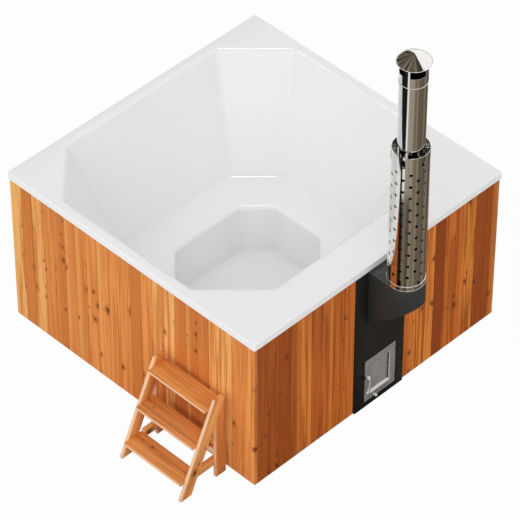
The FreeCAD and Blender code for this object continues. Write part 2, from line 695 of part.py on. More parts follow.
lever_x = door_left + LEVER_EDGE
lever_z = DOOR_FOOT + LEVER_HEIGHT
hinge_x = door_right + HINGE_OUT
hinge_y = panel_face - HINGE_BARREL_R - EASE


def make_door():
    plate = box(door_left, door_right, door_face, door_back, DOOR_FOOT, door_head)
    plate = plate.makeFillet(DOOR_CORNER_R, [e for e in plate.Edges if abs(e.tangentAt(0).y) > 0.99])
    flange = window_block(GLASS_LAP, door_face + TRAY_DEPTH, tray_back)
    door = plate.fuse([window_recess(TRAY_SHEET), flange])
    rib_back = air_y + AIR_SHEET + EASE
    guides = []
    for out in (-1, 1):
        near = air_z + out * (air_half + EASE)
        far = near + out * GUIDE_RIB
        lip = near - out * GUIDE_RIB
        x0, x1 = air_first - AIR_MARGIN, air_end + AIR_MARGIN
        guides.append(box(x0, x1, door_back, rib_back + GUIDE_LIP, min(near, far), max(near, far)))
        guides.append(box(x0, x1, rib_back, rib_back + GUIDE_LIP, min(lip, far), max(lip, far)))
    door = door.fuse(guides)
    slot_half = KNOB_STEM_R + EASE
    slot = box(slot_start, slot_end, door_face, door_back, air_z - slot_half, air_z + slot_half)
    spindle_hole = rod(V(lever_x, door_face, lever_z), TO_BACK, SPINDLE_R + HINGE_FIT, DOOR_SHEET)
    clear = [window_recess(0), window_block(0, door_face + TRAY_DEPTH, tray_back), slot, spindle_hole]
    save("door_plate", door.cut(clear + air_holes(door_face, door_back)).removeSplitter())
    save("door_glass", window_block(GLASS_LAP, tray_back, glass_back))
    clips = []
    glass_half = WINDOW_WIDTH / 2 + GLASS_LAP
    glass_foot = DOOR_FOOT + WINDOW_FOOT - GLASS_LAP
    glass_head = glass_foot + WINDOW_HEIGHT + 2 * GLASS_LAP
    for x in (STOVE_X - glass_half, STOVE_X + glass_half - CLIP_SIZE):
        for z in (glass_foot, glass_head - CLIP_SIZE):
            clips.append(box(x, x + CLIP_SIZE, glass_back, glass_back + CLIP_SHEET, z, z + CLIP_SIZE))
    save("glass_clips", Part.makeCompound(clips))
    edge = DOOR_LAP - SEAL_WIDTH - EASE
    rings = []
    for inset in (edge, edge + SEAL_WIDTH):
        x0, x1 = door_left + inset, door_right - inset
        rings.append(box(x0, x1, door_back, panel_face - EASE, DOOR_FOOT + inset, door_head - inset))
    save("door_seal", rings[0].cut(rings[1]))


def make_hinges():
    sockets = []
    pins = []
    knuckles = []
    pair = 2 * HINGE_BARREL + EASE
    for z in (DOOR_FOOT + HINGE_INSET, door_head - HINGE_INSET - pair):
        foot_axis = V(hinge_x, hinge_y, z)
        pin = rod(foot_axis, UP, HINGE_PIN_R, pair)
        half = HINGE_BARREL_R / 2
        block = box(hinge_x - half, hinge_x + half, hinge_y, panel_face, z, z + HINGE_BARREL)
        sockets.append(rod(foot_axis, UP, HINGE_BARREL_R, HINGE_BARREL).fuse(block).cut(pin))
        pins.append(pin)
        bore = rod(foot_axis, UP, HINGE_PIN_R + HINGE_FIT, pair)
        z += HINGE_BARREL + EASE
        barrel = rod(V(hinge_x, hinge_y, z), UP, HINGE_BARREL_R, HINGE_BARREL)
        leaf = box(door_right, hinge_x, door_face, door_back, z, z + HINGE_BARREL)
        knuckles.append(barrel.fuse(leaf).cut(bore))
    save("hinge_sockets", Part.makeCompound(sockets))
    save("hinge_pins", Part.makeCompound(pins))
    save("hinge_knuckles", Part.makeCompound(knuckles))


def make_lever():
    grip_y = door_face - LEVER_STANDOFF
    eye_start = grip_y - LEVER_EYE / 2
    spindle = rod(V(lever_x, eye_start, lever_z), TO_BACK, SPINDLE_R, door_back - eye_start)
    save("lever_spindle", spindle)
    eye = rod(V(lever_x, eye_start, lever_z), TO_BACK, LEVER_EYE_R, LEVER_EYE)
    grip = rod(V(lever_x, grip_y, lever_z - LEVER_REACH), UP, GRIP_R, LEVER_REACH)
    tip = [e for e in grip.Edges if e.CenterOfMass.z < lever_z - LEVER_REACH + 0.01]
    save("lever_grip", eye.fuse(grip.makeChamfer(GRIP_R / 2, tip)).cut(spindle))
    tongue_y = door_face - EASE - TONGUE_SHEET
    x0, x1 = lever_x - TONGUE_WIDTH / 2, lever_x + TONGUE_WIDTH / 2
    tongue = box(x0, x1, tongue_y, tongue_y + TONGUE_SHEET, lever_z, lever_z + TONGUE_REACH)
    hub = rod(V(lever_x, tongue_y, lever_z), TO_BACK, LEVER_EYE_R, TONGUE_SHEET)
    save("latch_tongue", tongue.fuse(hub).cut(spindle))
    tip_x = lever_x - TONGUE_REACH
    lip_y = tongue_y - KEEPER_AIR - KEEPER_SHEET
    z0, z1 = lever_z - KEEPER_HEIGHT / 2, lever_z + KEEPER_HEIGHT / 2
    post_x = tip_x - KEEPER_AIR
    post = box(post_x - KEEPER_SHEET, post_x, lip_y, panel_face, z0, z1)
    lip = box(post_x - KEEPER_SHEET, tip_x + KEEPER_LAP, lip_y, lip_y + KEEPER_SHEET, z0, z1)
    save("latch_keeper", fused([post, lip]))


def make_air_slide():
    x0, x1 = air_first - AIR_MARGIN, air_end + AIR_MARGIN
    slide = box(x0, x1, air_y, air_y + AIR_SHEET, air_z - air_half, air_z + air_half)
    save("air_slide", slide.cut(air_holes(air_y, air_y + AIR_SHEET)))
    knob_end = door_face - KNOB_REACH
    stem = rod(V(knob_x, knob_end, air_z), TO_BACK, KNOB_STEM_R, air_y - knob_end)
    grip = rod(V(knob_x, knob_end, air_z), TO_BACK, KNOB_R, KNOB_LENGTH)
    save("air_knob", stem.fuse(grip).removeSplitter())


def make_drain():
    bore_r = DRAIN_PIPE_R - DRAIN_WALL
    pipe_start = V(DRAIN_X - DRAIN_END - DRAIN_PIPE_R, drain_y, drain_z)
    valve_start = V(case_half + PANEL_GAP, drain_y, drain_z)
    length = valve_start.x - pipe_start.x
    riser_start = V(DRAIN_X, drain_y, drain_z)
    pipe = rod(pipe_start, TO_RIGHT, DRAIN_PIPE_R, length)
    pipe = pipe.fuse(rod(riser_start, UP, DRAIN_PIPE_R, BEARER_HEIGHT - drain_z))
    hollow = rod(pipe_start + TO_RIGHT * DRAIN_WALL, TO_RIGHT, bore_r, length - DRAIN_WALL)
    save("drain_pipe", pipe.cut([hollow, rod(riser_start, UP, bore_r, BEARER_HEIGHT - drain_z)]))
    tail_r = bore_r - DRAIN_FIT
    top = V(DRAIN_X, drain_y, floor_top)
    tail_foot = top - UP * DRAIN_TAIL
    fitting = rod(top, UP, DRAIN_FLANGE_R, DRAIN_FLANGE).fuse(rod(tail_foot, UP, tail_r, DRAIN_TAIL))
    holes = [rod(tail_foot, UP, tail_r - DRAIN_TAIL_WALL, DRAIN_TAIL)]
    for k in range(DRAIN_SLOTS):
        x = DRAIN_X + (k - (DRAIN_SLOTS - 1) / 2) * DRAIN_SLOT_PITCH
        half = DRAIN_SLOT_LENGTH / 2
        holes.append(box(x - DRAIN_SLOT_WIDTH / 2, x + DRAIN_SLOT_WIDTH / 2, drain_y - half, drain_y + half,
                         floor_top, floor_top + DRAIN_FLANGE))
    save("drain_fitting", fitting.cut(holes))
    body = rod(valve_start, TO_RIGHT, VALVE_BODY_R, VALVE_BODY)
    spigot = rod(valve_start + TO_RIGHT * VALVE_BODY, TO_RIGHT, SPIGOT_R, SPIGOT)
    stem_axis = valve_start + TO_RIGHT * (VALVE_BODY / 2)
    stem = rod(stem_axis, UP, STEM_R, VALVE_BODY_R + STEM_RISE)
    bore = rod(valve_start, TO_RIGHT, SPIGOT_R - DRAIN_WALL, VALVE_BODY + SPIGOT)
    save("drain_valve", body.fuse([spigot, stem]).cut(bore))
    tap_foot = stem_axis + UP * (VALVE_BODY_R + STEM_RISE + EASE)
    half = TAP_WIDTH / 2
    blade = box(tap_foot.x - half, tap_foot.x + half, tap_foot.y, tap_foot.y + TAP_LENGTH,
                tap_foot.z, tap_foot.z + TAP_SHEET)
    save("drain_lever", blade.fuse(rod(tap_foot, UP, STEM_R, TAP_SHEET)).removeSplitter())


def make_steps():
    back = -(case_half + STEP_SETBACK)
    right_out = STEP_Y - STEP_WIDTH / 2
    left_out = STEP_Y + STEP_WIDTH / 2
    right_in = right_out + STEP_BOARD
    left_in = left_out - STEP_BOARD
    lean = TREAD_RUN / TREAD_RISE
    top = TREAD_FIRST + (len(TREADS) - 1) * TREAD_RISE
    head = top + STEP_HEAD
    top_front = back - TREAD_DEPTH + TREAD_NOSE
    run = STRINGER_WIDTH * math.hypot(1, lean)
    outline = box(back - 2 * head, back, right_out, left_out, 0, head)
    corner = [e for e in outline.Edges if abs(e.tangentAt(0).y) > 0.99 and e.CenterOfMass.x > back - 1]
    outline = outline.makeFillet(STEP_TOP_R, [e for e in corner if e.CenterOfMass.z > head - 1])

    def slope_x(z):
        return top_front + (z - top) * lean

    for side, y in (("right", right_out), ("left", left_in)):
        width = V(0, STEP_BOARD, 0)
        front_edge = [V(slope_x(0), y, 0), V(slope_x(head), y, head)]
        slab = prism(front_edge + [p + V(run, 0, 0) for p in reversed(front_edge)], width)
        save("step_stringer_" + side, slab.common(outline))
        behind = [p + V(run, 0, 0) for p in front_edge]
        behind += [V(back + run, y, head), V(back + run, y, 0)]
        leg = box(back - LEG_WIDTH, back, y, y + STEP_BOARD, 0, head)
        save("step_leg_" + side, leg.common(prism(behind, width)).common(outline))
    for k, name in enumerate(TREADS):
        z = TREAD_FIRST + k * TREAD_RISE
        front = slope_x(z) - TREAD_NOSE
        tread = box(front, front + TREAD_DEPTH, right_in, left_in, z - STEP_BOARD, z)
        nose = [e for e in tread.Edges if abs(e.tangentAt(0).y) > 0.99 and e.CenterOfMass.x < front + 1]
        save("step_tread_" + name, tread.makeFillet(TREAD_EDGE_R, nose))
    tread_back = slope_x(TREAD_FIRST) - TREAD_NOSE + TREAD_DEPTH
    tread_under = TREAD_FIRST - STEP_BOARD
    rail_head = SIDE_RAIL_FOOT + SIDE_RAIL_HEIGHT
    for side, y in (("right", right_in), ("left", left_in - STEP_BOARD)):
        plate = box(tread_back - SIDE_RAIL_LAP, back, y, y + STEP_BOARD, SIDE_RAIL_FOOT, rail_head)
        seat = box(tread_back - SIDE_RAIL_LAP, tread_back, y, y + STEP_BOARD, tread_under, rail_head)
        save("step_rail_" + side, plate.cut(seat))
    leg_front = back - LEG_WIDTH
    cross_head = CROSS_RAIL_FOOT + CROSS_RAIL_HEIGHT
    cross = box(leg_front, leg_front + STEP_BOARD, right_in, left_in, CROSS_RAIL_FOOT, cross_head)
    save("step_cross_rail", cross)


os.makedirs("parts", exist_ok=True)
save("liner", make_liner())
make_cladding()
make_frame()
save("front_panel", make_panel())
make_stove()
make_water_pipes()
make_flue()
save("heat_guard", make_heat_guard())
make_door()
make_hinges()
make_lever()
make_air_slide()
make_drain()
make_steps()
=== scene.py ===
import bmesh
import bpy
import math
from mathutils import Euler, Matrix, Vector


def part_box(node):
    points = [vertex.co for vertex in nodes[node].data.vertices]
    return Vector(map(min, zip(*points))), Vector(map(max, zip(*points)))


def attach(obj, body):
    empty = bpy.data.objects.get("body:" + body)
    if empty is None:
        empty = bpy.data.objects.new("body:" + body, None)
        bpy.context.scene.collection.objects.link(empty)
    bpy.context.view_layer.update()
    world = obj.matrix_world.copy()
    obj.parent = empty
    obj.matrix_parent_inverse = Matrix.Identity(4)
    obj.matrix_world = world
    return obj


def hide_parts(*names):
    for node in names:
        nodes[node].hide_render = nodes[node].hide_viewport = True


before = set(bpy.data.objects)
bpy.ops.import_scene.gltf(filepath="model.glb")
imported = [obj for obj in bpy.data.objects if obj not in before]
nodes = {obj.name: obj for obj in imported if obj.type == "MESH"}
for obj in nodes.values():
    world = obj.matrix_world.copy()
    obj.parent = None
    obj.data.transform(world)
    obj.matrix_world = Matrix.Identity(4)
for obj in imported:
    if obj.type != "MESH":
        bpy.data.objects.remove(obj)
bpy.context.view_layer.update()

# Timber frame: corner posts, top and bottom rails, studs beside the stove and bearers under the foot well.
# Rough-sawn pale softwood, screwed together. The casing hides nearly all of it.
TIMBER_TONES = ((0.74, 0.50, 0.27, 1), (0.66, 0.41, 0.20, 1), (0.52, 0.30, 0.13, 1))
RING_TONE = (0.26, 0.055, 0.009, 1)
FIBRE_TONE = (0.22, 0.055, 0.01, 1)
HALO_TONE = (0.27, 0.06, 0.01, 1)
KNOT_TONE = (0.125, 0.034, 0.009, 1)
JOINT_TONE = (0.10, 0.025, 0.006, 1)
JOINT_START, JOINT_END = 0.0035, 0.0005
KNOT_BEND_X, KNOT_BEND_Z = 0.022, 0.025
KNOT_STRETCH = 0.75
KNOTS_PER_METRE = 11.0
KNOT_LEAST, KNOT_MORE = 0.04, 0.12
RING_WANDER = 0.045
RING_SWERVE = 0.006
PITH_LEAST, PITH_MORE, PITH_ARCH = 0.015, 0.05, 0.13
RINGS_LEAST, RINGS_MORE = 280.0, 420.0
TIMBER_BUMP, TIMBER_RELIEF = 0.35, 0.0006
TIMBER_SHEEN = 0.18
FRAME_KNOTS = 0.3
ONE_BOARD = 10.0


def put(tree, kind, inputs, **settings):
    """Places a shader node. Its inputs are numbers, colours or the outputs of other nodes."""
    node = tree.nodes.new("ShaderNode" + kind)
    for key, value in settings.items():
        setattr(node, key, value)
    for key, value in inputs.items():
        if isinstance(value, bpy.types.NodeSocket):
            tree.links.new(value, node.inputs[key])
        else:
            node.inputs[key].default_value = value
    return node


def sums(tree, operation, *values):
    """One step of arithmetic on numbers or sockets."""
    return put(tree, "Math", dict(enumerate(values)), operation=operation).outputs[0]


def times(tree, value, factor, plus=None):
    """A value times a factor, and what is added to that, if anything."""
    if plus is None:
        return sums(tree, "MULTIPLY", value, factor)
    return sums(tree, "MULTIPLY_ADD", value, factor, plus)


def eased(tree, value, start, end):
    """A soft step from 0 at start to 1 at end."""
    places = {0: value, 1: start, 2: end}
    return put(tree, "MapRange", places, interpolation_type="SMOOTHSTEP").outputs[0]


def tinted(tree, share, first, second):
    """The first colour turned towards the second."""
    return put(tree, "Mix", {0: share, 6: first, 7: second}, data_type="RGBA").outputs[2]


def vector_of(tree, x, y, z):
    return put(tree, "CombineXYZ", {0: x, 1: y, 2: z}).outputs[0]


def length_of(tree, x, y):
    """The length of the long side of a right angle."""
    squares = sums(tree, "ADD", times(tree, x, x), times(tree, y, y))
    return sums(tree, "SQRT", squares)


def turned_about(tree, place, middle, turn=(0, 0, 0)):
    """The place as measured from a middle, after a turn about it."""
    centred = put(tree, "VectorMath", {0: place, 1: middle}, operation="SUBTRACT").outputs[0]
    return put(tree, "Mapping", {"Vector": centred, "Rotation": turn}).outputs[0]


def clouds(tree, place, scale, detail=2.0, distortion=0.0):
    settings = {"Vector": place, "Scale": scale, "Detail": detail, "Distortion": distortion}
    return put(tree, "TexNoise", settings).outputs[0]


def new_group(name, inputs):
    """A node group that puts out a colour, a roughness and a height, and the sockets inside it."""
    group = bpy.data.node_groups.new(name, "ShaderNodeTree")
    outputs = {"Colour": "Color", "Roughness": "Float", "Height": "Float"}
    for side, sockets in (("INPUT", inputs), ("OUTPUT", outputs)):
        for label, kind in sockets.items():
            group.interface.new_socket(label, in_out=side, socket_type="NodeSocket" + kind)
    given = group.nodes.new("NodeGroupInput").outputs
    result = group.nodes.new("NodeGroupOutput").inputs
    return group, given, result


def make_board_timber():
    """Boards side by side along X with the grain up Z: a tint for each board, streaks, rings and knots."""
    inputs = {"Place": "Vector", "First edge": "Float", "Width": "Float", "Seed": "Float", "Knots": "Float"}
    inputs.update({"Pale": "Color", "Middle": "Color", "Dark": "Color"})
    tree, given, result = new_group("board timber", inputs)
    place = put(tree, "SeparateXYZ", {0: given["Place"]}).outputs
    from_edge = sums(tree, "SUBTRACT", place["X"], given["First edge"])
    in_boards = sums(tree, "DIVIDE", from_edge, given["Width"])
    board = sums(tree, "FLOOR", in_boards)
    off_middle = sums(tree, "SUBTRACT", sums(tree, "FRACT", in_boards), 0.5)
    key = vector_of(tree, board, given["Seed"], 0.5)
    chance = put(tree, "TexWhiteNoise", {"Vector": key}, noise_dimensions="3D").outputs["Color"]
    chance = put(tree, "SeparateColor", {0: chance}).outputs
    own_length = times(tree, chance["Red"], 37.0, place["Z"])

    # Knots, with the grain bending round them
    knot_x = times(tree, clouds(tree, given["Place"], 45.0), KNOT_BEND_X, place["X"])
    knot_z = times(tree, clouds(tree, given["Place"], 31.0), KNOT_BEND_Z, own_length)
    knot_place = vector_of(tree, knot_x, times(tree, knot_z, KNOT_STRETCH), 0.0)
    knot_cells = {"Vector": knot_place, "Scale": KNOTS_PER_METRE}
    cells = put(tree, "TexVoronoi", knot_cells, voronoi_dimensions="2D").outputs
    cell = put(tree, "SeparateColor", {0: cells["Color"]}).outputs
    knotty = times(tree, sums(tree, "POWER", chance["Blue"], 3.0), 1.8, 0.25)
    present = sums(tree, "LESS_THAN", cell["Red"], times(tree, given["Knots"], knotty))
    size = times(tree, sums(tree, "POWER", cell["Green"], 2.0), KNOT_MORE, KNOT_LEAST)
    spread = sums(tree, "DIVIDE", cells["Distance"], size)
    knot = times(tree, present, eased(tree, spread, 1.15, 0.7))
    halo = times(tree, present, eased(tree, spread, 3.4, 0.9))

    # Growth rings, cut lengthways
    wander_place = vector_of(tree, times(tree, place["X"], 4.0), board, own_length)
    wander = clouds(tree, wander_place, 1.1, 3.0)
    off_pith = times(tree, chance["Green"], 0.08)
    across = times(tree, off_middle, given["Width"], off_pith)
    across = times(tree, wander, RING_WANDER, across)
    across = times(tree, halo, RING_SWERVE, across)
    deep = times(tree, chance["Blue"], PITH_MORE, PITH_LEAST)
    rise = clouds(tree, vector_of(tree, 0.0, times(tree, board, 7.3), own_length), 0.9, 1.0)
    arched = times(tree, eased(tree, chance["Green"], 0.25, 0.65), PITH_ARCH)
    deep = times(tree, rise, arched, deep)
    rings = times(tree, chance["Green"], RINGS_MORE, RINGS_LEAST)
    turns = times(tree, length_of(tree, across, deep), rings)
    ring = sums(tree, "POWER", times(tree, sums(tree, "SINE", turns), 0.5, 0.5), 2.5)

    # Long streaks and short fibres
    long_place = vector_of(tree, times(tree, across, 30.0), chance["Blue"], own_length)
    streak = eased(tree, clouds(tree, long_place, 1.3, 4.0), 0.42, 0.64)
    fibre_place = vector_of(tree, times(tree, place["X"], 70.0), place["Y"], own_length)
    fibre = clouds(tree, fibre_place, 9.0, 3.0)

    # Pale sapwood along one edge of some boards
    side = times(tree, wander, 0.25, off_middle)
    some_boards = eased(tree, chance["Green"], 0.5, 0.7)
    sapwood = times(tree, eased(tree, side, 0.16, 0.42), some_boards)

    # The vee between two boards
    half = times(tree, given["Width"], 0.5)
    from_middle = times(tree, sums(tree, "ABSOLUTE", off_middle), given["Width"])
    joint = eased(tree, sums(tree, "SUBTRACT", half, from_middle), JOINT_START, JOINT_END)

    tone = tinted(tree, eased(tree, chance["Red"], 0.0, 0.55), given["Dark"], given["Middle"])
    tone = tinted(tree, eased(tree, chance["Red"], 0.45, 1.0), tone, given["Pale"])
    patchy = times(tree, eased(tree, wander, 0.35, 0.65), 0.28, 0.06)
    loose_fibre = eased(tree, fibre, 0.45, 0.8)
    for mask, share, colour in ((streak, 0.8, given["Dark"]), (sapwood, 0.4, given["Pale"]),
                                (ring, patchy, RING_TONE), (loose_fibre, 0.3, FIBRE_TONE),
                                (halo, 0.45, HALO_TONE), (knot, 0.85, KNOT_TONE), (joint, 0.3, JOINT_TONE)):
        tone = tinted(tree, times(tree, mask, share), tone, colour)
    tree.links.new(tone, result["Colour"])

    rough = times(tree, streak, 0.14, 0.43)
    tree.links.new(times(tree, fibre, 0.12, rough), result["Roughness"])
    height = times(tree, ring, 0.35, times(tree, fibre, 0.6))
    tree.links.new(times(tree, knot, -0.5, height), result["Height"])
    return tree


board_timber = make_board_timber()


def new_finish(name):
    """A new material, with its node tree, its shader and the place of each point on the piece."""
    material = bpy.data.materials.new(name)
    material.use_nodes = True
    tree = material.node_tree
    return material, tree, tree.nodes["Principled BSDF"], put(tree, "TexCoord", {}).outputs["Object"]


def surface(tree, shader, colour, rough, height, bump, depth):
    """Leads a colour, a roughness and a height to the shader."""
    tree.links.new(colour, shader.inputs["Base Color"])
    tree.links.new(rough, shader.inputs["Roughness"])
    relief = put(tree, "Bump", {"Height": height, "Strength": bump, "Distance": depth})
    tree.links.new(relief.outputs["Normal"], shader.inputs["Normal"])


def timber_finish(name, tones, seed, knots, turn=(0, 0, 0), middle=(0, 0, 0), first_edge=-ONE_BOARD / 2,
                  width=ONE_BOARD):
    """Timber whose boards lie side by side along X and whose grain runs up Z, after the turn."""
    material, tree, shader, place = new_finish(name)
    inputs = {"Place": turned_about(tree, place, middle, turn), "Seed": seed, "Knots": knots}
    inputs.update({"First edge": first_edge, "Width": width})
    inputs.update(zip(("Pale", "Middle", "Dark"), tones))
    made = put(tree, "Group", inputs, node_tree=board_timber).outputs
    surface(tree, shader, *made, TIMBER_BUMP, TIMBER_RELIEF)
    shader.inputs["Specular IOR Level"].default_value = TIMBER_SHEEN
    return material


def dress(material, *names):
    """Gives CAD pieces a finish."""
    for name in names:
        for slot in nodes[name].material_slots:
            slot.material = material


ALONG_X = (0, math.radians(90), 0)
ALONG_Y = (math.radians(90), 0, 0)
upright = timber_finish("sawn timber upright", TIMBER_TONES, 1.0, FRAME_KNOTS)
lying_x = timber_finish("sawn timber left to right", TIMBER_TONES, 2.0, FRAME_KNOTS, ALONG_X)
lying_y = timber_finish("sawn timber front to back", TIMBER_TONES, 3.0, FRAME_KNOTS, ALONG_Y)
dress(upright, "corner_posts", "stove_stud_left", "stove_stud_right")
dress(lying_x, "base_bearers")
for row in ("top", "bottom"):
    dress(lying_x, row + "_rail_front", row + "_rail_back")
    dress(lying_y, row + "_rail_left", row + "_rail_right")

# Casing: upright boards side by side on all four sides, nailed to the rails, with a small vee at each joint.
# Oiled knotty softwood from honey to red-brown; the row beside the stove, whose panel parts it in two, gets
# darker tones as painted shade.
CASING_TONES = ((0.98, 0.51, 0.165, 1), (0.90, 0.35, 0.092, 1), (0.66, 0.20, 0.043, 1))
# Darker, redder tones for the front rows: painted shade
SHADED_FRONT_TONES = ((0.89, 0.30, 0.047, 1), (0.70, 0.182, 0.025, 1), (0.32, 0.062, 0.007, 1))
CASING_KNOTS = 0.3
BOARD_WIDTH = 0.090
QUARTER_TURN = (0, 0, math.radians(-90))
BOARD_DRAWS = {"left": 11.0, "right": 12.0, "back": 13.0, "front_left": 14.0, "front_right": 16.0}
for side, draw in BOARD_DRAWS.items():
    low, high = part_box("cladding_" + side)
    facing_side = side in ("left", "right")
    start = low.y if facing_side else low.x
    run = high.y - low.y if facing_side else high.x - low.x
    pitch = run / round(run / BOARD_WIDTH)
    turn = QUARTER_TURN if facing_side else (0, 0, 0)
    # The front rows take the darker tones: painted shade on the less lit side
    tones = SHADED_FRONT_TONES if side.startswith("front") else CASING_TONES
    casing = timber_finish("casing boards " + side.replace("_", " "), tones, draw, CASING_KNOTS, turn,
                           first_edge=start, width=pitch)
    dress(casing, "cladding_" + side)

# Liner: one white moulding that hangs on the frame by its rim, with an octagonal mouth, leaning walls,
# a bench all round and a foot well. Glossy sanitary acrylic about 6 mm thick, all its edges rolled.
DECK_STOVE = 0.240
DECK_SIDE = 0.068
MOUTH_CUT, MOUTH_ROUND = 0.330, 0.050
WALL_BATTER = 0.298
FOOT_CUT, FOOT_ROUND = 0.205, 0.050
BENCH_SIDE, BENCH_BACK, BENCH_STOVE = 0.217, 0.233, 0.181
BENCH_TOP = 0.418
WELL_CUT, WELL_ROUND = 0.160, 0.040
WELL_BATTER = 0.018
FLOOR_CUT = 0.145
RIM_ROUND = 0.010
RIM_EDGE = 0.005
RIM_BORDER = 0.020
MOUTH_BORDER = 0.030
LINER_WALL = 0.006
LINER_WHITES = ((0.945, 0.945, 0.943, 1), (0.965, 0.965, 0.965, 1))
LINER_BUMP, LINER_RELIEF = 0.05, 0.001
EDGE_ROLL = 0.025
ROLL_FACES, RIM_FACES = 5, 3
DRAIN_BORE_R, DRAIN_BORE_DEPTH = 0.021, 0.10
PIPE_BORE_R, PIPE_BORE_DEPTH = 0.0213, 0.16
BORE_SIDES = 32
JOIN_DROP = 0.3
SHARP = math.radians(35)
LEVEL_TURN = Matrix.Rotation(math.radians(90), 4, "X")
liner_low, liner_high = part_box("liner")
rim_half = liner_high.x
rim_top = liner_high.z
rim_lip = rim_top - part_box("flue_box")[1].z
floor_top = liner_low.z + LINER_WALL


def placed(name, data):
    """A new object in the scene, of a mesh that was just built, a lamp or a camera."""
    if isinstance(data, bmesh.types.BMesh):
        mesh = bpy.data.meshes.new(name)
        data.to_mesh(mesh)
        data.free()
        data = mesh
    thing = bpy.data.objects.new(name, data)
    bpy.context.scene.collection.objects.link(thing)
    return thing


def finished(name, bm, material, body, replaced):
    """Makes a piece of a mesh, smooth but for its sharp edges, in place of CAD nodes and riding on a body."""
    piece = placed(name, bm)
    piece.data.shade_smooth()
    piece.data.set_sharp_from_angle(angle=SHARP)
    piece.data.materials.append(material)
    if replaced:
        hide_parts(*replaced)
    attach(piece, body)
    return piece


def rounded(bm, corners, reach, faces):
    """Cuts or rounds the corners of flat outlines."""
    bmesh.ops.bevel(bm, geom=corners, offset=reach, offset_type="OFFSET", segments=faces, profile=0.5,
                    affect="VERTICES", material=-1)


def rolled(bm, edges, reach, faces):
    """Rounds edges."""
    bmesh.ops.bevel(bm, geom=edges, offset=reach, offset_type="OFFSET", segments=faces, profile=0.5,
                    affect="EDGES", material=-1, loop_slide=True)


def outline(bm, half, front, back, cut, corner, z):
    """The edges of one level of the basin: a rectangle with its corners cut off and then rounded."""
    others = set(bm.faces)
    corners = bmesh.ops.create_grid(bm, x_segments=1, y_segments=1, size=1.0)["verts"]
    bmesh.ops.scale(bm, vec=(half, (back - front) / 2, 1), verts=corners)
    bmesh.ops.translate(bm, vec=(0, (front + back) / 2, z), verts=corners)
    if cut:
        rounded(bm, corners, cut, 1)
    face = [f for f in bm.faces if f not in others][0]
    turn = math.pi / 4 if cut else math.pi / 2
    rounded(bm, list(face.verts), corner * math.tan(turn / 2), ROLL_FACES)
    face = [f for f in bm.faces if f not in others][0]
    edges = list(face.edges)
    bmesh.ops.delete(bm, geom=[face], context="FACES_ONLY")
    return edges


def joined(bm, outer, inner):
    """A band of faces between two outlines. The inner one is dropped meanwhile, so that like corners meet."""
    corners = list({v for e in inner for v in e.verts})
    bmesh.ops.translate(bm, vec=(0, 0, -JOIN_DROP), verts=corners)
    bmesh.ops.bridge_loops(bm, edges=outer + inner)
    bmesh.ops.translate(bm, vec=(0, 0, JOIN_DROP), verts=corners)


def verts_of(geom):
    return [v for v in geom if isinstance(v, bmesh.types.BMVert)]


bm = bmesh.new()
mouth_half = rim_half - DECK_SIDE
mouth_front = DECK_STOVE - rim_half
foot_half = mouth_half - WALL_BATTER
foot_front = mouth_front + WALL_BATTER
well_half = foot_half - BENCH_SIDE
well_front = foot_front + BENCH_STOVE
well_back = foot_half - BENCH_BACK
floor_half = well_half - WELL_BATTER
rim = outline(bm, rim_half, -rim_half, rim_half, 0, RIM_ROUND, rim_top)
inside = rim_half - RIM_BORDER
rim_border = outline(bm, inside, -inside, inside, 0, RIM_ROUND / 2, rim_top)
around = mouth_half + MOUTH_BORDER
around_cut = MOUTH_CUT + MOUTH_BORDER * (2 - math.sqrt(2))
around_round = MOUTH_ROUND + MOUTH_BORDER
mouth_border = outline(bm, around, mouth_front - MOUTH_BORDER, around, around_cut, around_round, rim_top)
mouth = outline(bm, mouth_half, mouth_front, mouth_half, MOUTH_CUT, MOUTH_ROUND, rim_top)
foot = outline(bm, foot_half, foot_front, foot_half, FOOT_CUT, FOOT_ROUND, BENCH_TOP)
well = outline(bm, well_half, well_front, well_back, WELL_CUT, WELL_ROUND, BENCH_TOP)
floor_front = well_front + WELL_BATTER
floor_back = well_back - WELL_BATTER
ground = outline(bm, floor_half, floor_front, floor_back, FLOOR_CUT, WELL_ROUND, floor_top)
for outer, inner in ((rim, rim_border), (mouth_border, mouth), (mouth, foot), (foot, well), (well, ground)):
    joined(bm, outer, inner)
bmesh.ops.edgeloop_fill(bm, edges=ground)
bmesh.ops.triangle_fill(bm, use_beauty=True, edges=rim_border + mouth_border)
lip = bmesh.ops.extrude_edge_only(bm, edges=rim)["geom"]
bmesh.ops.translate(bm, vec=(0, 0, -rim_lip), verts=verts_of(lip))
bmesh.ops.recalc_face_normals(bm, faces=bm.faces)
if sum(f.normal.z * f.calc_area() for f in bm.faces) < 0:
    bmesh.ops.reverse_faces(bm, faces=bm.faces)
wall_turn = math.atan2(rim_top - BENCH_TOP, WALL_BATTER)
well_turn = math.atan2(BENCH_TOP - floor_top, WELL_BATTER)
rolled(bm, rim, RIM_EDGE, RIM_FACES)
for edges, turn in ((mouth, wall_turn), (foot, wall_turn), (well, well_turn), (ground, well_turn)):
    rolled(bm, edges, EDGE_ROLL * math.tan(turn / 2), ROLL_FACES)

white, tree, shader, place = new_finish("white acrylic")
wash = tinted(tree, clouds(tree, place, 1.7, 3.0), *LINER_WHITES)
gloss = times(tree, clouds(tree, place, 9.0, 4.0), 0.06, 0.05)
surface(tree, shader, wash, gloss, clouds(tree, place, 24.0, 1.0), LINER_BUMP, LINER_RELIEF)
liner = finished("liner_moulding", bm, white, "tub", ["liner"])


def bored(bm, radius, depth, place):
    """A round bar, to be cut out of a piece."""
    bmesh.ops.create_cone(bm, cap_ends=True, segments=BORE_SIDES, radius1=radius, radius2=radius, depth=depth,
                          matrix=place)


def settle(piece):
    """Takes the result of a piece's modifiers as its mesh."""
    bpy.context.view_layer.update()
    seen = piece.evaluated_get(bpy.context.evaluated_depsgraph_get())
    mesh = bpy.data.meshes.new_from_object(seen)
    piece.modifiers.clear()
    piece.data = mesh


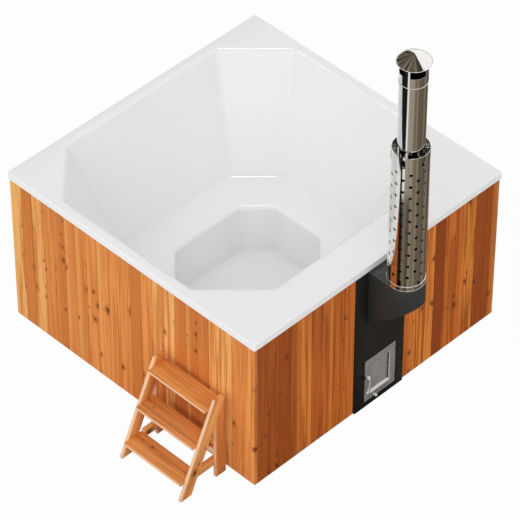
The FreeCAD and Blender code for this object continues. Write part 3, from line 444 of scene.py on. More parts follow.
def cut_away(piece, bm):
    """Cuts the shapes of a mesh out of a piece."""
    cutter = placed("cutter", bm)
    cut = piece.modifiers.new("cut", "BOOLEAN")
    cut.operation = "DIFFERENCE"
    cut.solver = "EXACT"
    cut.object = cutter
    settle(piece)
    bpy.data.objects.remove(cutter)


def thicken(piece, thickness):
    """Gives a sheet its wall, on its inner side."""
    wall = piece.modifiers.new("wall", "SOLIDIFY")
    wall.thickness = thickness
    wall.offset = -1
    wall.use_even_offset = True


thicken(liner, LINER_WALL)
settle(liner)
bm = bmesh.new()
drain_low, drain_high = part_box("drain_fitting")
bored(bm, DRAIN_BORE_R, DRAIN_BORE_DEPTH, Matrix.Translation((drain_low + drain_high) / 2))
for node in ("water_pipe_upper", "water_pipe_lower"):
    low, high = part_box(node)
    bore = Vector(((low.x + high.x) / 2, high.y, high.z - (high.x - low.x) / 2))
    bored(bm, PIPE_BORE_R, PIPE_BORE_DEPTH, Matrix.Translation(bore) @ LEVEL_TURN)
cut_away(liner, bm)
liner.data.set_sharp_from_angle(angle=SHARP)
weighted = liner.modifiers.new("even shading", "WEIGHTED_NORMAL")
weighted.keep_sharp = True

# Drain: a slotted fitting in the floor, a grey plastic pipe under the tub and a brass valve with a red lever.
# The valve body is turned brass, its spigot takes a hose, and the lever is pressed steel dipped in red.
MARK_RELIEF = 0.0005
CAD_WELD = 0.00001
FLAT, CORNER = math.radians(1), math.radians(40)
VALVE_EASE = 0.001
FINE_EASE = 0.0006


def make_surface_marks():
    """Brushing and smudges on sheet metal, paint and plastic."""
    inputs = {"Place": "Vector", "Clean": "Color", "Worn": "Color", "Smooth": "Float", "Spread": "Float"}
    inputs.update({"Brushing": "Float", "Smudges": "Float"})
    tree, given, result = new_group("surface marks", inputs)
    brushed = clouds(tree, given["Place"], given["Brushing"], 3.0)
    smudge = eased(tree, clouds(tree, given["Place"], given["Smudges"], 4.0, 0.6), 0.4, 0.75)
    worn = times(tree, brushed, 0.6, times(tree, smudge, 0.4))
    tree.links.new(tinted(tree, worn, given["Clean"], given["Worn"]), result["Colour"])
    rough = times(tree, worn, given["Spread"], given["Smooth"])
    tree.links.new(rough, result["Roughness"])
    tree.links.new(brushed, result["Height"])
    return tree


surface_marks = make_surface_marks()


def marked_finish(name, clean, worn, smooth, spread, metal=0.0, brushing=90.0, smudges=7.0, stretch=(1, 1, 1),
                  bump=0.08, sheen=0.5):
    """A painted, plastic or metal surface whose marks are drawn out by stretch."""
    material, tree, shader, place = new_finish(name)
    drawn = put(tree, "Mapping", {"Vector": place, "Scale": stretch}).outputs[0]
    inputs = {"Place": drawn, "Clean": clean, "Worn": worn, "Smooth": smooth, "Spread": spread}
    inputs.update({"Brushing": brushing, "Smudges": smudges})
    surface(tree, shader, *put(tree, "Group", inputs, node_tree=surface_marks).outputs, bump, MARK_RELIEF)
    shader.inputs["Metallic"].default_value = metal
    shader.inputs["Specular IOR Level"].default_value = sheen
    return material


def welded(bm, distance):
    bmesh.ops.remove_doubles(bm, verts=bm.verts, dist=distance)


def eased_copy(name, node, material, body, ease, faces=2):
    """A copy of a CAD piece, its triangles joined into clean faces and its sharp edges taken off."""
    bm = bmesh.new()
    bm.from_mesh(nodes[node].data)
    welded(bm, CAD_WELD)
    bmesh.ops.dissolve_limit(bm, angle_limit=FLAT, verts=bm.verts, edges=bm.edges)
    sharp = [e for e in bm.edges if len(e.link_faces) == 2 and e.calc_face_angle() > CORNER]
    rolled(bm, sharp, ease, faces)
    return finished(name, bm, material, body, [node])


grey_plastic = marked_finish("grey pipe plastic", (0.30, 0.31, 0.31, 1), (0.22, 0.23, 0.23, 1),
                             smooth=0.38, spread=0.15)
brass = marked_finish("turned brass", (0.72, 0.50, 0.20, 1), (0.52, 0.34, 0.12, 1),
                      smooth=0.22, spread=0.2, metal=1.0, brushing=160.0, stretch=(6, 1, 1))
red_dip = marked_finish("red dipped lever", (0.55, 0.03, 0.02, 1), (0.40, 0.02, 0.015, 1),
                        smooth=0.32, spread=0.15)
eased_copy("drain_slots", "drain_fitting", grey_plastic, "tub", FINE_EASE)
dress(grey_plastic, "drain_pipe")
eased_copy("valve_body", "drain_valve", brass, "tub", VALVE_EASE)
eased_copy("valve_lever", "drain_lever", red_dip, "drain_tap", VALVE_EASE)

# Water pipes: two steel pipes that carry the bath water through the jacket of the stove and back.
# Each ends inside the liner in a flat grey ring; plain tube, welded to the jacket.
pipe_steel = marked_finish("water pipe steel", (0.56, 0.56, 0.55, 1), (0.40, 0.40, 0.40, 1),
                           smooth=0.3, spread=0.2, metal=1.0)
dress(pipe_steel, "water_pipe_upper", "water_pipe_lower")
dress(grey_plastic, "water_ports")

# Stove body: firebox, water jacket, feet and smoke riser of welded plate, and a loose cast-iron grate.
# It stands under the bench behind the front panel; soot darkens the inside.
plate_steel = marked_finish("stove plate", (0.20, 0.195, 0.19, 1), (0.09, 0.085, 0.08, 1),
                            smooth=0.5, spread=0.25, metal=0.85, brushing=60.0)
sooty_iron = marked_finish("sooty cast iron", (0.045, 0.043, 0.042, 1), (0.10, 0.095, 0.09, 1),
                           smooth=0.65, spread=0.2, metal=0.4, brushing=140.0, bump=0.3)
dress(plate_steel, "firebox", "water_jacket", "stove_feet", "smoke_riser")
dress(sooty_iron, "grate")

# Front panel and flue box: folded sheet in satin black paint. The panel closes the gap between the boards.
# The D-shaped box on it leads the smoke out from the riser to the flue in front of the rim.
PANEL_EASE = 0.0012
black_paint = marked_finish("satin black paint", (0.010, 0.010, 0.009, 1), (0.015, 0.015, 0.014, 1),
                            smooth=0.36, spread=0.16, brushing=220.0, smudges=3.0, sheen=0.3)
box_paint = marked_finish("satin black flue box", (0.024, 0.027, 0.026, 1), (0.034, 0.037, 0.036, 1),
                          smooth=0.42, spread=0.14, brushing=220.0, smudges=3.0, sheen=0.35)
eased_copy("stove_panel", "front_panel", black_paint, "tub", PANEL_EASE)
eased_copy("smoke_box", "flue_box", box_paint, "tub", PANEL_EASE)

# Stove door: a steel plate with a recessed window, a rope seal behind it and lift-off hinges at its right.
# Brushed steel, folded and welded; heat-proof glass, hazed with ash, is clipped in from behind.
# The second steel is a painted highlight on the hinge-side slope; the black tone after it is painted shade on
# that slope near the glass
SLOPE_STEEL, JAMB_HIGHLIGHT_STEEL = (0.64, 0.63, 0.61, 1), (0.70, 0.68, 0.64, 1)
PAINTED_JAMB_SHADE_TONE = (0.018, 0.018, 0.018, 1)
JAMB_SHADE_FROM, JAMB_SHADE_TO = 0.40, 0.50
HINGE_SIDE = -0.3
STEEL_METAL = 0.35
GLASS_BELOW = 0.01
SLOPE_FROM, SLOPE_TO = -0.98, -0.05
GLASS_EASE = 0.0005
GLASS_TONES, GLASS_CLEAR = ((0.305, 0.31, 0.295, 1), (0.36, 0.36, 0.34, 1)), 0.15
brushed_steel = marked_finish("brushed door steel", (0.39, 0.375, 0.335, 1), (0.31, 0.297, 0.262, 1),
                              smooth=0.36, spread=0.18, metal=STEEL_METAL, brushing=45.0, smudges=9.0,
                              stretch=(1, 1, 9))
seal_rope = marked_finish("rope seal", (0.10, 0.095, 0.09, 1), (0.19, 0.18, 0.17, 1),
                          smooth=0.85, spread=0.1, brushing=420.0, bump=0.6)
bright_steel = marked_finish("bright steel", (0.95, 0.94, 0.92, 1), (0.82, 0.81, 0.79, 1),
                             smooth=0.22, spread=0.12, metal=0.15, brushing=80.0)
door = eased_copy("door_pressing", "door_plate", brushed_steel, "stove_door", FINE_EASE)
dress(seal_rope, "door_seal")
dress(bright_steel, "glass_clips")
eased_copy("hinge_leaves", "hinge_knuckles", black_paint, "stove_door", FINE_EASE)
eased_copy("hinge_seats", "hinge_sockets", black_paint, "tub", FINE_EASE)
dress(black_paint, "hinge_pins")
glass_low, glass_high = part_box("door_glass")
door_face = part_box("door_plate")[0].y
slope_depth = glass_low.y - door_face


def sloping(face):
    """Whether a face of the door belongs to the slopes round its window."""
    middle = face.center
    beside = glass_low.x < middle.x < glass_high.x and glass_low.z - GLASS_BELOW < middle.z < glass_high.z
    return beside and middle.y < glass_low.y and SLOPE_FROM < face.normal.y < SLOPE_TO


def mark_faces(piece, name, chosen):
    """Gives each face of a piece the value 1 or 0 under a name that its material reads."""
    marks = piece.data.attributes.new(name, "FLOAT", "FACE")
    marks.data.foreach_set("value", [float(chosen(face)) for face in piece.data.polygons])


def marked(tree, name):
    """The value that faces were given under a name."""
    return put(tree, "Attribute", {}, attribute_name=name).outputs["Fac"]


# The slopes round the window are bright; on the one at the hinge side a paler tone is a painted highlight,
# and near the glass it turns black as painted shade
mark_faces(door, "window slope", lambda face: sloping(face) and face.normal.x >= HINGE_SIDE)
mark_faces(door, "shaded jamb slope", lambda face: sloping(face) and face.normal.x < HINGE_SIDE)
tree = brushed_steel.node_tree
shader = tree.nodes["Principled BSDF"]
bare = marked(tree, "window slope")
shaded_jamb = marked(tree, "shaded jamb slope")
steel_tone = tinted(tree, bare, shader.inputs["Base Color"].links[0].from_socket, SLOPE_STEEL)
steel_tone = tinted(tree, shaded_jamb, steel_tone, JAMB_HIGHLIGHT_STEEL)
into_door = put(tree, "SeparateXYZ", {0: put(tree, "TexCoord", {}).outputs["Object"]}).outputs["Y"]
near_glass = eased(tree, into_door, door_face + JAMB_SHADE_FROM * slope_depth, door_face + JAMB_SHADE_TO * slope_depth)
# Painted shade: the hinge-side slope turns black near the glass
jamb_shade_mask = times(tree, shaded_jamb, near_glass)
tree.links.new(tinted(tree, jamb_shade_mask, steel_tone, PAINTED_JAMB_SHADE_TONE), shader.inputs["Base Color"])
tree.links.new(times(tree, bare, 1 - STEEL_METAL, STEEL_METAL), shader.inputs["Metallic"])

ash_glass, tree, shader, place = new_finish("stove glass with ash")
haze = eased(tree, clouds(tree, place, 14.0, 4.0, 0.4), 0.3, 0.75)
tree.links.new(tinted(tree, haze, *GLASS_TONES), shader.inputs["Base Color"])
tree.links.new(times(tree, haze, 0.2, 0.12), shader.inputs["Roughness"])
shader.inputs["Transmission Weight"].default_value = GLASS_CLEAR
eased_copy("door_pane", "door_glass", ash_glass, "stove_door", GLASS_EASE)

# Door lever: a bent steel bar with painted highlights at its eye and tip, on a spindle through the door's
# left edge.
# The latch tongue on the spindle turns behind a folded keeper welded to the panel.
GRIP_BOW, GRIP_WAVE = 0.009, 1.35
GRIP_RINGS = 12
BAR_R, BAR_SIDES = 0.006, 16
TIP_ROUND, TIP_FACES = 0.7, 4
EYE_SIDES, EYE_ROLL, EYE_FACES = 24, 0.002, 3
# Reach of the painted highlights at the eye and tip, and their tone
EYE_HIGHLIGHT_REACH, TIP_HIGHLIGHT_REACH = 1.2, 0.016
LEVER_HIGHLIGHT_TONE = (0.98, 0.97, 0.95, 1)
worn_and_highlit_steel = marked_finish("worn lever steel with painted highlights", (0.64, 0.625, 0.59, 1), (0.46, 0.45, 0.42, 1),
                           smooth=0.18, spread=0.12, metal=0.2, brushing=80.0)
grip_low, grip_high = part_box("lever_grip")
spindle_low, spindle_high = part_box("lever_spindle")
spindle = (spindle_low + spindle_high) / 2
eye_r = grip_high.z - spindle.z
eye_place = Matrix.Translation((spindle.x, (grip_low.y + grip_high.y) / 2, spindle.z))
reach = spindle.z - grip_low.z


def edges_among(bm, verts):
    return [e for e in bm.edges if all(v in verts for v in e.verts)]


bm = bmesh.new()
bmesh.ops.create_cone(bm, cap_ends=True, segments=EYE_SIDES, radius1=eye_r, radius2=eye_r,
                      depth=grip_high.y - grip_low.y, matrix=eye_place @ LEVEL_TURN)
rolled(bm, [e for e in bm.edges if e.calc_face_angle(0) > CORNER], EYE_ROLL, EYE_FACES)
ring = bmesh.ops.create_circle(bm, segments=BAR_SIDES, radius=BAR_R, matrix=eye_place)["verts"]
bowed = 0.0
for k in range(1, GRIP_RINGS + 1):
    ring = verts_of(bmesh.ops.extrude_edge_only(bm, edges=edges_among(bm, ring))["geom"])
    bow = GRIP_BOW * math.sin(k / GRIP_RINGS * math.pi * GRIP_WAVE)
    bmesh.ops.translate(bm, vec=(bow - bowed, 0, -reach / GRIP_RINGS), verts=ring)
    bowed = bow
tip = bmesh.ops.edgeloop_fill(bm, edges=edges_among(bm, ring))["faces"][0]
rolled(bm, list(tip.edges), BAR_R * TIP_ROUND, TIP_FACES)
bmesh.ops.recalc_face_normals(bm, faces=bm.faces)
lever_bar = finished("lever_bar", bm, worn_and_highlit_steel, "door_lever", ["lever_grip"])


def on_painted_highlight(face):
    """Whether a face of the lever lies on its eye or its tip, where a highlight is painted."""
    from_spindle = math.hypot(face.center.x - spindle.x, face.center.z - spindle.z)
    return from_spindle < eye_r * EYE_HIGHLIGHT_REACH or face.center.z < grip_low.z + TIP_HIGHLIGHT_REACH


def tint_marked(material, name, share, colour):
    """Turns the faces that are marked with a name towards a colour."""
    tree = material.node_tree
    base = tree.nodes["Principled BSDF"].inputs["Base Color"]
    mask = times(tree, marked(tree, name), share)
    tree.links.new(tinted(tree, mask, base.links[0].from_socket, colour), base)


# Painted highlights: the eye and tip of the lever turn nearly white
mark_faces(lever_bar, "painted highlight", on_painted_highlight)
tint_marked(worn_and_highlit_steel, "painted highlight", 1.0, LEVER_HIGHLIGHT_TONE)
dress(bright_steel, "lever_spindle")
eased_copy("tongue", "latch_tongue", brushed_steel, "door_lever", FINE_EASE)
eased_copy("keeper", "latch_keeper", black_paint, "tub", FINE_EASE)

# Air slide: a strip with slots behind the foot of the door, moved by a turned knob to let in air.
# The strip is dark with heat, the knob plain bright steel.
STRIP_EASE = 0.0003
KNOB_EASE, KNOB_FACES = 0.0012, 3
heat_dark = marked_finish("heat-darkened steel", (0.035, 0.033, 0.030, 1), (0.085, 0.080, 0.072, 1),
                          smooth=0.42, spread=0.2, metal=0.2)
eased_copy("air_strip", "air_slide", heat_dark, "air_control", STRIP_EASE)
eased_copy("air_pull", "air_knob", bright_steel, "air_control", KNOB_EASE, KNOB_FACES)

# Flue: a polished pipe that stands on the smoke box, in a ring that seats the heat guard.
# Rolled stainless sheet, seamed, with a flange round its foot.
FLUE_R = 0.078
FLUE_SHEET = 0.002
FLANGE = 0.003
ROUND_STEPS = 96
FULL_TURN = 2 * math.pi
HEM_R, HEM_SIDES = 0.002, 12
ROLL_AIR = 0.00002
FINE_WELD = 0.000001
polished = marked_finish("polished stainless", (0.93, 0.92, 0.90, 1), (0.70, 0.69, 0.67, 1), smooth=0.05,
                         spread=0.07, metal=1.0, brushing=40.0, smudges=5.0, stretch=(1, 1, 0.06), bump=0.03)
pipe_low, pipe_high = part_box("flue_pipe")
axis = Vector(((pipe_low.x + pipe_high.x) / 2, (pipe_low.y + pipe_high.y) / 2, 0))
flange_r = (pipe_high.x - pipe_low.x) / 2
ring_low, ring_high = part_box("flue_collar")


def spun(bm, profile, steps=ROUND_STEPS, start=0.0, angle=FULL_TURN):
    """Turns a closed profile of radius and height points round the flue's axis, fully or in part."""
    corners = [bm.verts.new(axis + Vector((r, 0, z))) for r, z in profile]
    face = bm.faces.new(corners)
    bmesh.ops.rotate(bm, cent=axis, matrix=Matrix.Rotation(start, 3, "Z"), verts=corners)
    whole = angle == FULL_TURN
    geom = corners + list(face.edges) + ([] if whole else [face])
    if whole:
        bmesh.ops.delete(bm, geom=[face], context="FACES_ONLY")
    bmesh.ops.spin(bm, geom=geom, cent=axis, axis=(0, 0, 1), angle=angle, steps=steps, use_merge=whole)


def flue_piece(name, bm, replaced, finish=polished):
    """Makes a piece of the flue, with its faces turned outwards."""
    bmesh.ops.recalc_face_normals(bm, faces=bm.faces)
    finished(name, bm, finish, "tub", replaced)


def hem(bm, radius, z):
    """A thin rolled edge round the flue's axis."""
    turns = [math.radians(360 / HEM_SIDES * k) for k in range(HEM_SIDES)]
    spun(bm, [(radius + HEM_R * math.cos(turn), z + HEM_R * math.sin(turn)) for turn in turns])


bm = bmesh.new()
spun(bm, [(FLUE_R, pipe_low.z), (FLUE_R, ring_low.z), (flange_r, ring_low.z), (flange_r, ring_low.z + FLANGE),
          (FLUE_R, ring_low.z + FLANGE), (FLUE_R, pipe_high.z), (FLUE_R - FLUE_SHEET, pipe_high.z),
          (FLUE_R - FLUE_SHEET, pipe_low.z)])
welded(bm, FINE_WELD)
flue_piece("flue_tube", bm, ["flue_pipe"])

bm = bmesh.new()
ring_out = (ring_high.x - ring_low.x) / 2 - ROLL_AIR
ring_face = ring_out - HEM_R / 2
spun(bm, [(ring_face, ring_low.z), (ring_face, ring_high.z - HEM_R),
          (ring_face - FLUE_SHEET, ring_high.z - HEM_R), (ring_face - FLUE_SHEET, ring_low.z)])
hem(bm, ring_out - HEM_R, ring_high.z - HEM_R)
hem(bm, ring_out - HEM_R, ring_low.z + HEM_R)
flue_piece("guard_ring", bm, ["flue_collar"])

# Heat guard: a rolled sheet with staggered columns of punched holes, standing clear of the hot pipe.
# Tabs bent inwards from slots at its head and foot hold it off the pipe.
GUARD_COLUMNS = 16
GUARD_HOLE_R = 0.0105
GUARD_PITCH = 0.084
GUARD_PLAIN = 0.105
GUARD_SHEET = 0.0015
HOLE_SIDES = 16
SHEET_WELD = 0.00002
SAME_LEVEL = 0.0001
TAB_COUNT = 6
TAB_WIDTH, TAB_HEIGHT, TAB_EDGE = 0.018, 0.064, 0.012
TAB_AIR = 0.0003
TAB_ROLL = 0.0003
SLOT_DEPTH = 0.02
ROUND_FACING = 0.95
guard_low, guard_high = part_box("heat_guard")
guard_r = (guard_high.x - guard_low.x) / 2
guard_height = guard_high.z - guard_low.z
column_turn = FULL_TURN / GUARD_COLUMNS

bm = bmesh.new()
corners = bmesh.ops.create_grid(bm, x_segments=1, y_segments=1, size=0.5)["verts"]
bmesh.ops.scale(bm, vec=(guard_r * column_turn, GUARD_PITCH, 1), verts=corners)
bmesh.ops.delete(bm, geom=list(bm.faces), context="FACES_ONLY")
bmesh.ops.subdivide_edges(bm, edges=list(bm.edges), cuts=HOLE_SIDES // 4 - 1)
cell_edges = list(bm.edges)
bmesh.ops.create_circle(bm, segments=HOLE_SIDES, radius=GUARD_HOLE_R)
hole_edges = [e for e in bm.edges if e not in cell_edges]
bmesh.ops.bridge_loops(bm, edges=cell_edges + hole_edges)
welded(bm, FINE_WELD)
for v in bm.verts:
    angle = v.co.x / guard_r
    v.co = Vector((guard_r * math.cos(angle), guard_r * math.sin(angle), v.co.y))
cell = list(bm.verts) + list(bm.edges) + list(bm.faces)
for column in range(GUARD_COLUMNS):
    z = GUARD_PLAIN + column % 2 * GUARD_PITCH / 2
    turn = Matrix.Rotation(column * column_turn, 3, "Z")
    while z <= guard_height - GUARD_PLAIN:
        copied = verts_of(bmesh.ops.duplicate(bm, geom=cell)["geom"])
        bmesh.ops.rotate(bm, cent=(0, 0, 0), matrix=turn, verts=copied)
        bmesh.ops.translate(bm, vec=(0, 0, z), verts=copied)
        z += GUARD_PITCH
bmesh.ops.delete(bm, geom=verts_of(cell), context="VERTS")
welded(bm, SHEET_WELD)


def drawn_out(level, to_level):
    """Extends the sheet from its open level edges at one height to another height."""
    ends = [e for e in bm.edges if len(e.link_faces) == 1]
    ends = [e for e in ends if all(abs(v.co.z - level) < SAME_LEVEL for v in e.verts)]
    grown = verts_of(bmesh.ops.extrude_edge_only(bm, edges=ends)["geom"])
    bmesh.ops.translate(bm, vec=(0, 0, to_level - level), verts=grown)
    welded(bm, SHEET_WELD)


quarter = GUARD_PITCH / 4
first = GUARD_PLAIN - 2 * quarter
last = max(v.co.z for v in bm.verts)
for end, step, edge in ((first, quarter, 0.0), (last, -quarter, guard_height)):
    drawn_out(end + 2 * step, end + step)
    drawn_out(end + step, end)
    drawn_out(end, edge)
bmesh.ops.recalc_face_normals(bm, faces=bm.faces)
bmesh.ops.translate(bm, vec=axis + Vector((0, 0, guard_low.z)), verts=bm.verts)
guard = finished("perforated_guard", bm, polished, "tub", ["heat_guard"])
thicken(guard, GUARD_SHEET)
settle(guard)

bm = bmesh.new()
tabs = bmesh.new()
for level in (TAB_EDGE, guard_height - TAB_EDGE - TAB_HEIGHT):
    for k in range(TAB_COUNT):
        turn = Matrix.Rotation(FULL_TURN * k / TAB_COUNT + column_turn, 4, "Z")
        spot = Matrix.Translation(axis + Vector((0, 0, guard_low.z + level + TAB_HEIGHT / 2))) @ turn
        slot_size = Matrix.Diagonal((SLOT_DEPTH, TAB_WIDTH, TAB_HEIGHT, 1))
        slot_place = spot @ Matrix.Translation((guard_r, 0, 0)) @ slot_size
        bmesh.ops.create_cube(bm, size=1.0, matrix=slot_place)
        tab_reach = guard_r - GUARD_SHEET / 2 - FLUE_R - TAB_AIR
        tab_size = Matrix.Diagonal((tab_reach, GUARD_SHEET, TAB_HEIGHT, 1))
        tab_middle = (FLUE_R + TAB_AIR + tab_reach / 2, -(TAB_WIDTH + GUARD_SHEET) / 2, 0)
        tab_place = spot @ Matrix.Translation(tab_middle) @ tab_size
        bmesh.ops.create_cube(tabs, size=1.0, matrix=tab_place)
cut_away(guard, bm)
rolled(tabs, list(tabs.edges), TAB_ROLL, 1)
hem(tabs, guard_r - HEM_R, guard_high.z - HEM_R)
flue_piece("guard_tabs", tabs, [])

# Even reflections need the sheet's shading to follow the round exactly, also beside the holes
mesh = guard.data
shading = [Vector()] * len(mesh.loops)
for polygon in mesh.polygons:
    out = polygon.center - axis
    out.z = 0
    facing = out.normalized().dot(polygon.normal)
    for loop in polygon.loop_indices:
        from_axis = mesh.vertices[mesh.loops[loop].vertex_index].co - axis
        from_axis.z = 0
        round_way = from_axis.normalized() * (1 if facing > 0 else -1)
        shading[loop] = round_way if abs(facing) > ROUND_FACING else polygon.normal
mesh.normals_split_custom_set(shading)

# Rain cap: a turned cone with a rolled edge on a sleeve whose four straps leave the smoke a way out.
# Polished stainless; the turning lines on the cone run from its point to its edge.
SLEEVE_SHEET = 0.0015
SLEEVE_BAND = 0.067
STRAPS, STRAP_STEPS = 4, 8
STRAP_TURN = math.radians(24)
STRAP_START = math.radians(274)
CAP_SHEET = 0.0015
CAP_POINT = (0.002, 0.004)
CAP_STEELS = ((0.80, 0.79, 0.77, 1), (0.95, 0.94, 0.92, 1))
CAP_BUMP, CAP_RELIEF = 0.25, 0.0006
BEAD, BEAD_STEPS = 0.0025, 7
BEAD_FIRST, BEAD_TURN = math.radians(75), math.radians(30)
BEAD_START, BEAD_END = 2.3, 1.9
# How far the bead loses its metal, and how far round from the right: painted light
BEAD_LIGHT_SHARE, BEAD_LIGHT_REACH = 0.9, 0.3
cap_low, cap_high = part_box("rain_cap")
cap_r = (cap_high.x - cap_low.x) / 2
sleeve_low, sleeve_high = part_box("cap_sleeve")
sleeve_r = (sleeve_high.x - sleeve_low.x) / 2
bm = bmesh.new()
band_z = sleeve_low.z + SLEEVE_BAND
inner = sleeve_r - SLEEVE_SHEET
spun(bm, [(sleeve_r, sleeve_low.z), (sleeve_r, band_z), (inner, band_z), (inner, sleeve_low.z)])
hem(bm, sleeve_r, sleeve_low.z + HEM_R)
for k in range(STRAPS):
    strap = [(sleeve_r, band_z), (sleeve_r, sleeve_high.z - SLEEVE_SHEET),
             (inner, sleeve_high.z), (inner, band_z)]
    spun(bm, strap, STRAP_STEPS, STRAP_START + FULL_TURN * k / STRAPS, STRAP_TURN)
flue_piece("cap_straps", bm, ["cap_sleeve"])

turned_cap, tree, shader, place = new_finish("turned stainless cap")
split = put(tree, "SeparateXYZ", {0: turned_about(tree, place, axis)}).outputs
spoke = sums(tree, "ARCTAN2", split["Y"], split["X"])
turning = {"W": spoke, "Scale": 4.5, "Detail": 2.0, "Roughness": 0.6}
spokes = put(tree, "TexNoise", turning, noise_dimensions="1D").outputs[0]
line = eased(tree, spokes, 0.38, 0.62)
gloss = times(tree, line, 0.04, 0.06)
surface(tree, shader, tinted(tree, line, *CAP_STEELS), gloss, spokes, CAP_BUMP, CAP_RELIEF)

# The bead loses its metal on its far right side, where its pale colour then shows as painted light
outward = length_of(tree, split["X"], split["Y"])
on_bead = eased(tree, outward, cap_r - BEAD_START * BEAD, cap_r - BEAD_END * BEAD)
bead_painted_light = times(tree, on_bead, eased(tree, split["X"], 0.0, BEAD_LIGHT_REACH * cap_r))
tree.links.new(times(tree, bead_painted_light, -BEAD_LIGHT_SHARE, 1.0), shader.inputs["Metallic"])

bm = bmesh.new()
lean = (cap_high.z - cap_low.z) / cap_r
profile = [(0.0, cap_high.z)]
for r in CAP_POINT + (cap_r - 4 * BEAD, cap_r - 3 * BEAD, cap_r - 2 * BEAD):
    profile.append((r, cap_high.z - r * lean))
for k in range(BEAD_STEPS):
    turn = BEAD_FIRST - BEAD_TURN * k
    profile.append((cap_r - BEAD + BEAD * math.cos(turn), cap_low.z + BEAD + BEAD * math.sin(turn)))
profile.append((cap_r - 3 * BEAD, cap_low.z + 2 * BEAD * lean))
profile.append((0.0, cap_high.z - CAP_SHEET * math.hypot(1, lean)))
spun(bm, profile)
welded(bm, FINE_WELD)
flue_piece("cap_cone", bm, ["rain_cap"], turned_cap)

# Steps: three treads between two sloping stringers, with upright legs behind and rails that tie them.
# The same oiled softwood as the casing, planed and screwed; the steps stand loose beside the tub.
STEP_TONES = ((0.95, 0.475, 0.152, 1), (0.90, 0.37, 0.100, 1), (0.63, 0.200, 0.045, 1))
# Paler tone for faces that look towards the lamp: partly freshly planed wood, partly a painted highlight
PLANED_LIT_TONE, PLANED_LIT_SHARE = (0.89, 0.61, 0.44, 1), 0.75
STEP_DRAW = 63.0
STEP_KNOTS = 0.55
STEP_EASE = 0.0015
STEP_BACK, STEP_RISE = 0.100, 0.220
STEP_LEAN = (0, -math.atan2(STEP_BACK, STEP_RISE), 0)
FACING_LAMP_SIDE = -0.85
step_boards = {"step_tread_bottom": ALONG_Y, "step_tread_middle": ALONG_Y, "step_tread_top": ALONG_Y,
               "step_cross_rail": ALONG_Y, "step_rail_left": ALONG_X, "step_rail_right": ALONG_X,
               "step_leg_left": (0, 0, 0), "step_leg_right": (0, 0, 0),
               "step_stringer_left": STEP_LEAN, "step_stringer_right": STEP_LEAN}
for k, (node, turn) in enumerate(step_boards.items()):
    low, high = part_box(node)
    middle = (low + high) / 2
    finish = timber_finish(node.replace("_", " "), STEP_TONES, STEP_DRAW + k, STEP_KNOTS, turn, middle)
    board = eased_copy(node.replace("step_", "steps_"), node, finish, "steps", STEP_EASE)
    # Faces towards the lamp turn paler: planed wood and a painted highlight
    mark_faces(board, "planed and lit face", lambda face: face.normal.x < FACING_LAMP_SIDE)
    tint_marked(finish, "planed and lit face", PLANED_LIT_SHARE, PLANED_LIT_TONE)

# Studio: a plain pale floor that shows white, even light with a large soft lamp at the left and two strips,
# dark and pale cards that only polished metal reflects, and a camera where the picture was taken from.
FLOOR_SIZE = (30.0, 30.0)
SKY_LEVEL = 0.655
LAMP_WAY = Vector((-0.56, -0.30, 0.60))
LAMP_LEVEL = 0.82
STRIP_SIZE = (3.4, 0.7)
STRIPS = ((Vector((-4.2, 0.0, 0.72)), 22.0), (Vector((0.0, -4.2, 0.72)), 13.0))
CAMERA_TURN = math.radians(-45.017)
CAMERA_RISE = math.radians(43.304)
CAMERA_DISTANCE = 20.932
CAMERA_TARGET = Vector((-0.0052, -0.0477, 0.4644))
CAMERA_LENS, CAMERA_SENSOR = 248.72, 36.0
CAMERA_SIGHT = 100.0
CARD_TAUPE = (0.095, 0.074, 0.052, 1)
CARD_SAND = (0.25, 0.205, 0.15, 1)
CARD_CREAM = (0.46, 0.42, 0.35, 1)
CARD_GREY = (0.36, 0.355, 0.34, 1)
CARD_BLACK = (0.012, 0.012, 0.012, 1)
CARD_WHITE = (0.85, 0.85, 0.85, 1)
EDGE_LIGHTS = ((Vector((0.20, 0.20, 0.96)), 0.55), (Vector((0.0, 0.515, 0.857)), 0.85))
LAMP_SPREAD, EDGE_SPREAD = math.radians(70), math.radians(10)
FLOOR_GREY = (0.62, 0.62, 0.62, 1)
FLOOR_SHOWN = 0.97
WHITE = (1, 1, 1, 1)
FLUE_FRONT = math.radians(135)
FLOOR_CARD, CARD_LIFT = (7.6, 7.6), 0.005
NEAR_END, FAR_START = 2.0, 2.1


def seen_directly(tree):
    """1 for rays from the camera and for what metal and glass show of the room, and 0 for light."""
    rays = put(tree, "LightPath", {}).outputs
    seen = sums(tree, "MAXIMUM", rays["Is Camera Ray"], rays["Is Glossy Ray"])
    return sums(tree, "MAXIMUM", seen, rays["Is Transmission Ray"])


def studio_sheet(name, size, place=(0, 0, 0), turn=(0, 0, 0)):
    """A flat sheet, with the empty node tree of its material."""
    bm = bmesh.new()
    bmesh.ops.create_grid(bm, x_segments=1, y_segments=1, size=0.5)
    spread = Matrix.LocRotScale(Vector(place), Euler(turn), Vector((size[0], size[1], 1)))
    bmesh.ops.transform(bm, matrix=spread, verts=bm.verts)
    sheet = placed(name, bm)
    cover = bpy.data.materials.new(name)
    cover.use_nodes = True
    cover.node_tree.nodes.clear()
    sheet.data.materials.append(cover)
    return sheet, cover.node_tree


floor, tree = studio_sheet("floor", FLOOR_SIZE)
plain = put(tree, "BsdfDiffuse", {"Color": FLOOR_GREY})
glow = put(tree, "Emission", {"Color": WHITE, "Strength": 1.0})
share = times(tree, seen_directly(tree), FLOOR_SHOWN)
mixed = put(tree, "MixShader", {0: share, 1: plain.outputs[0], 2: glow.outputs[0]})
put(tree, "OutputMaterial", {"Surface": mixed.outputs[0]})


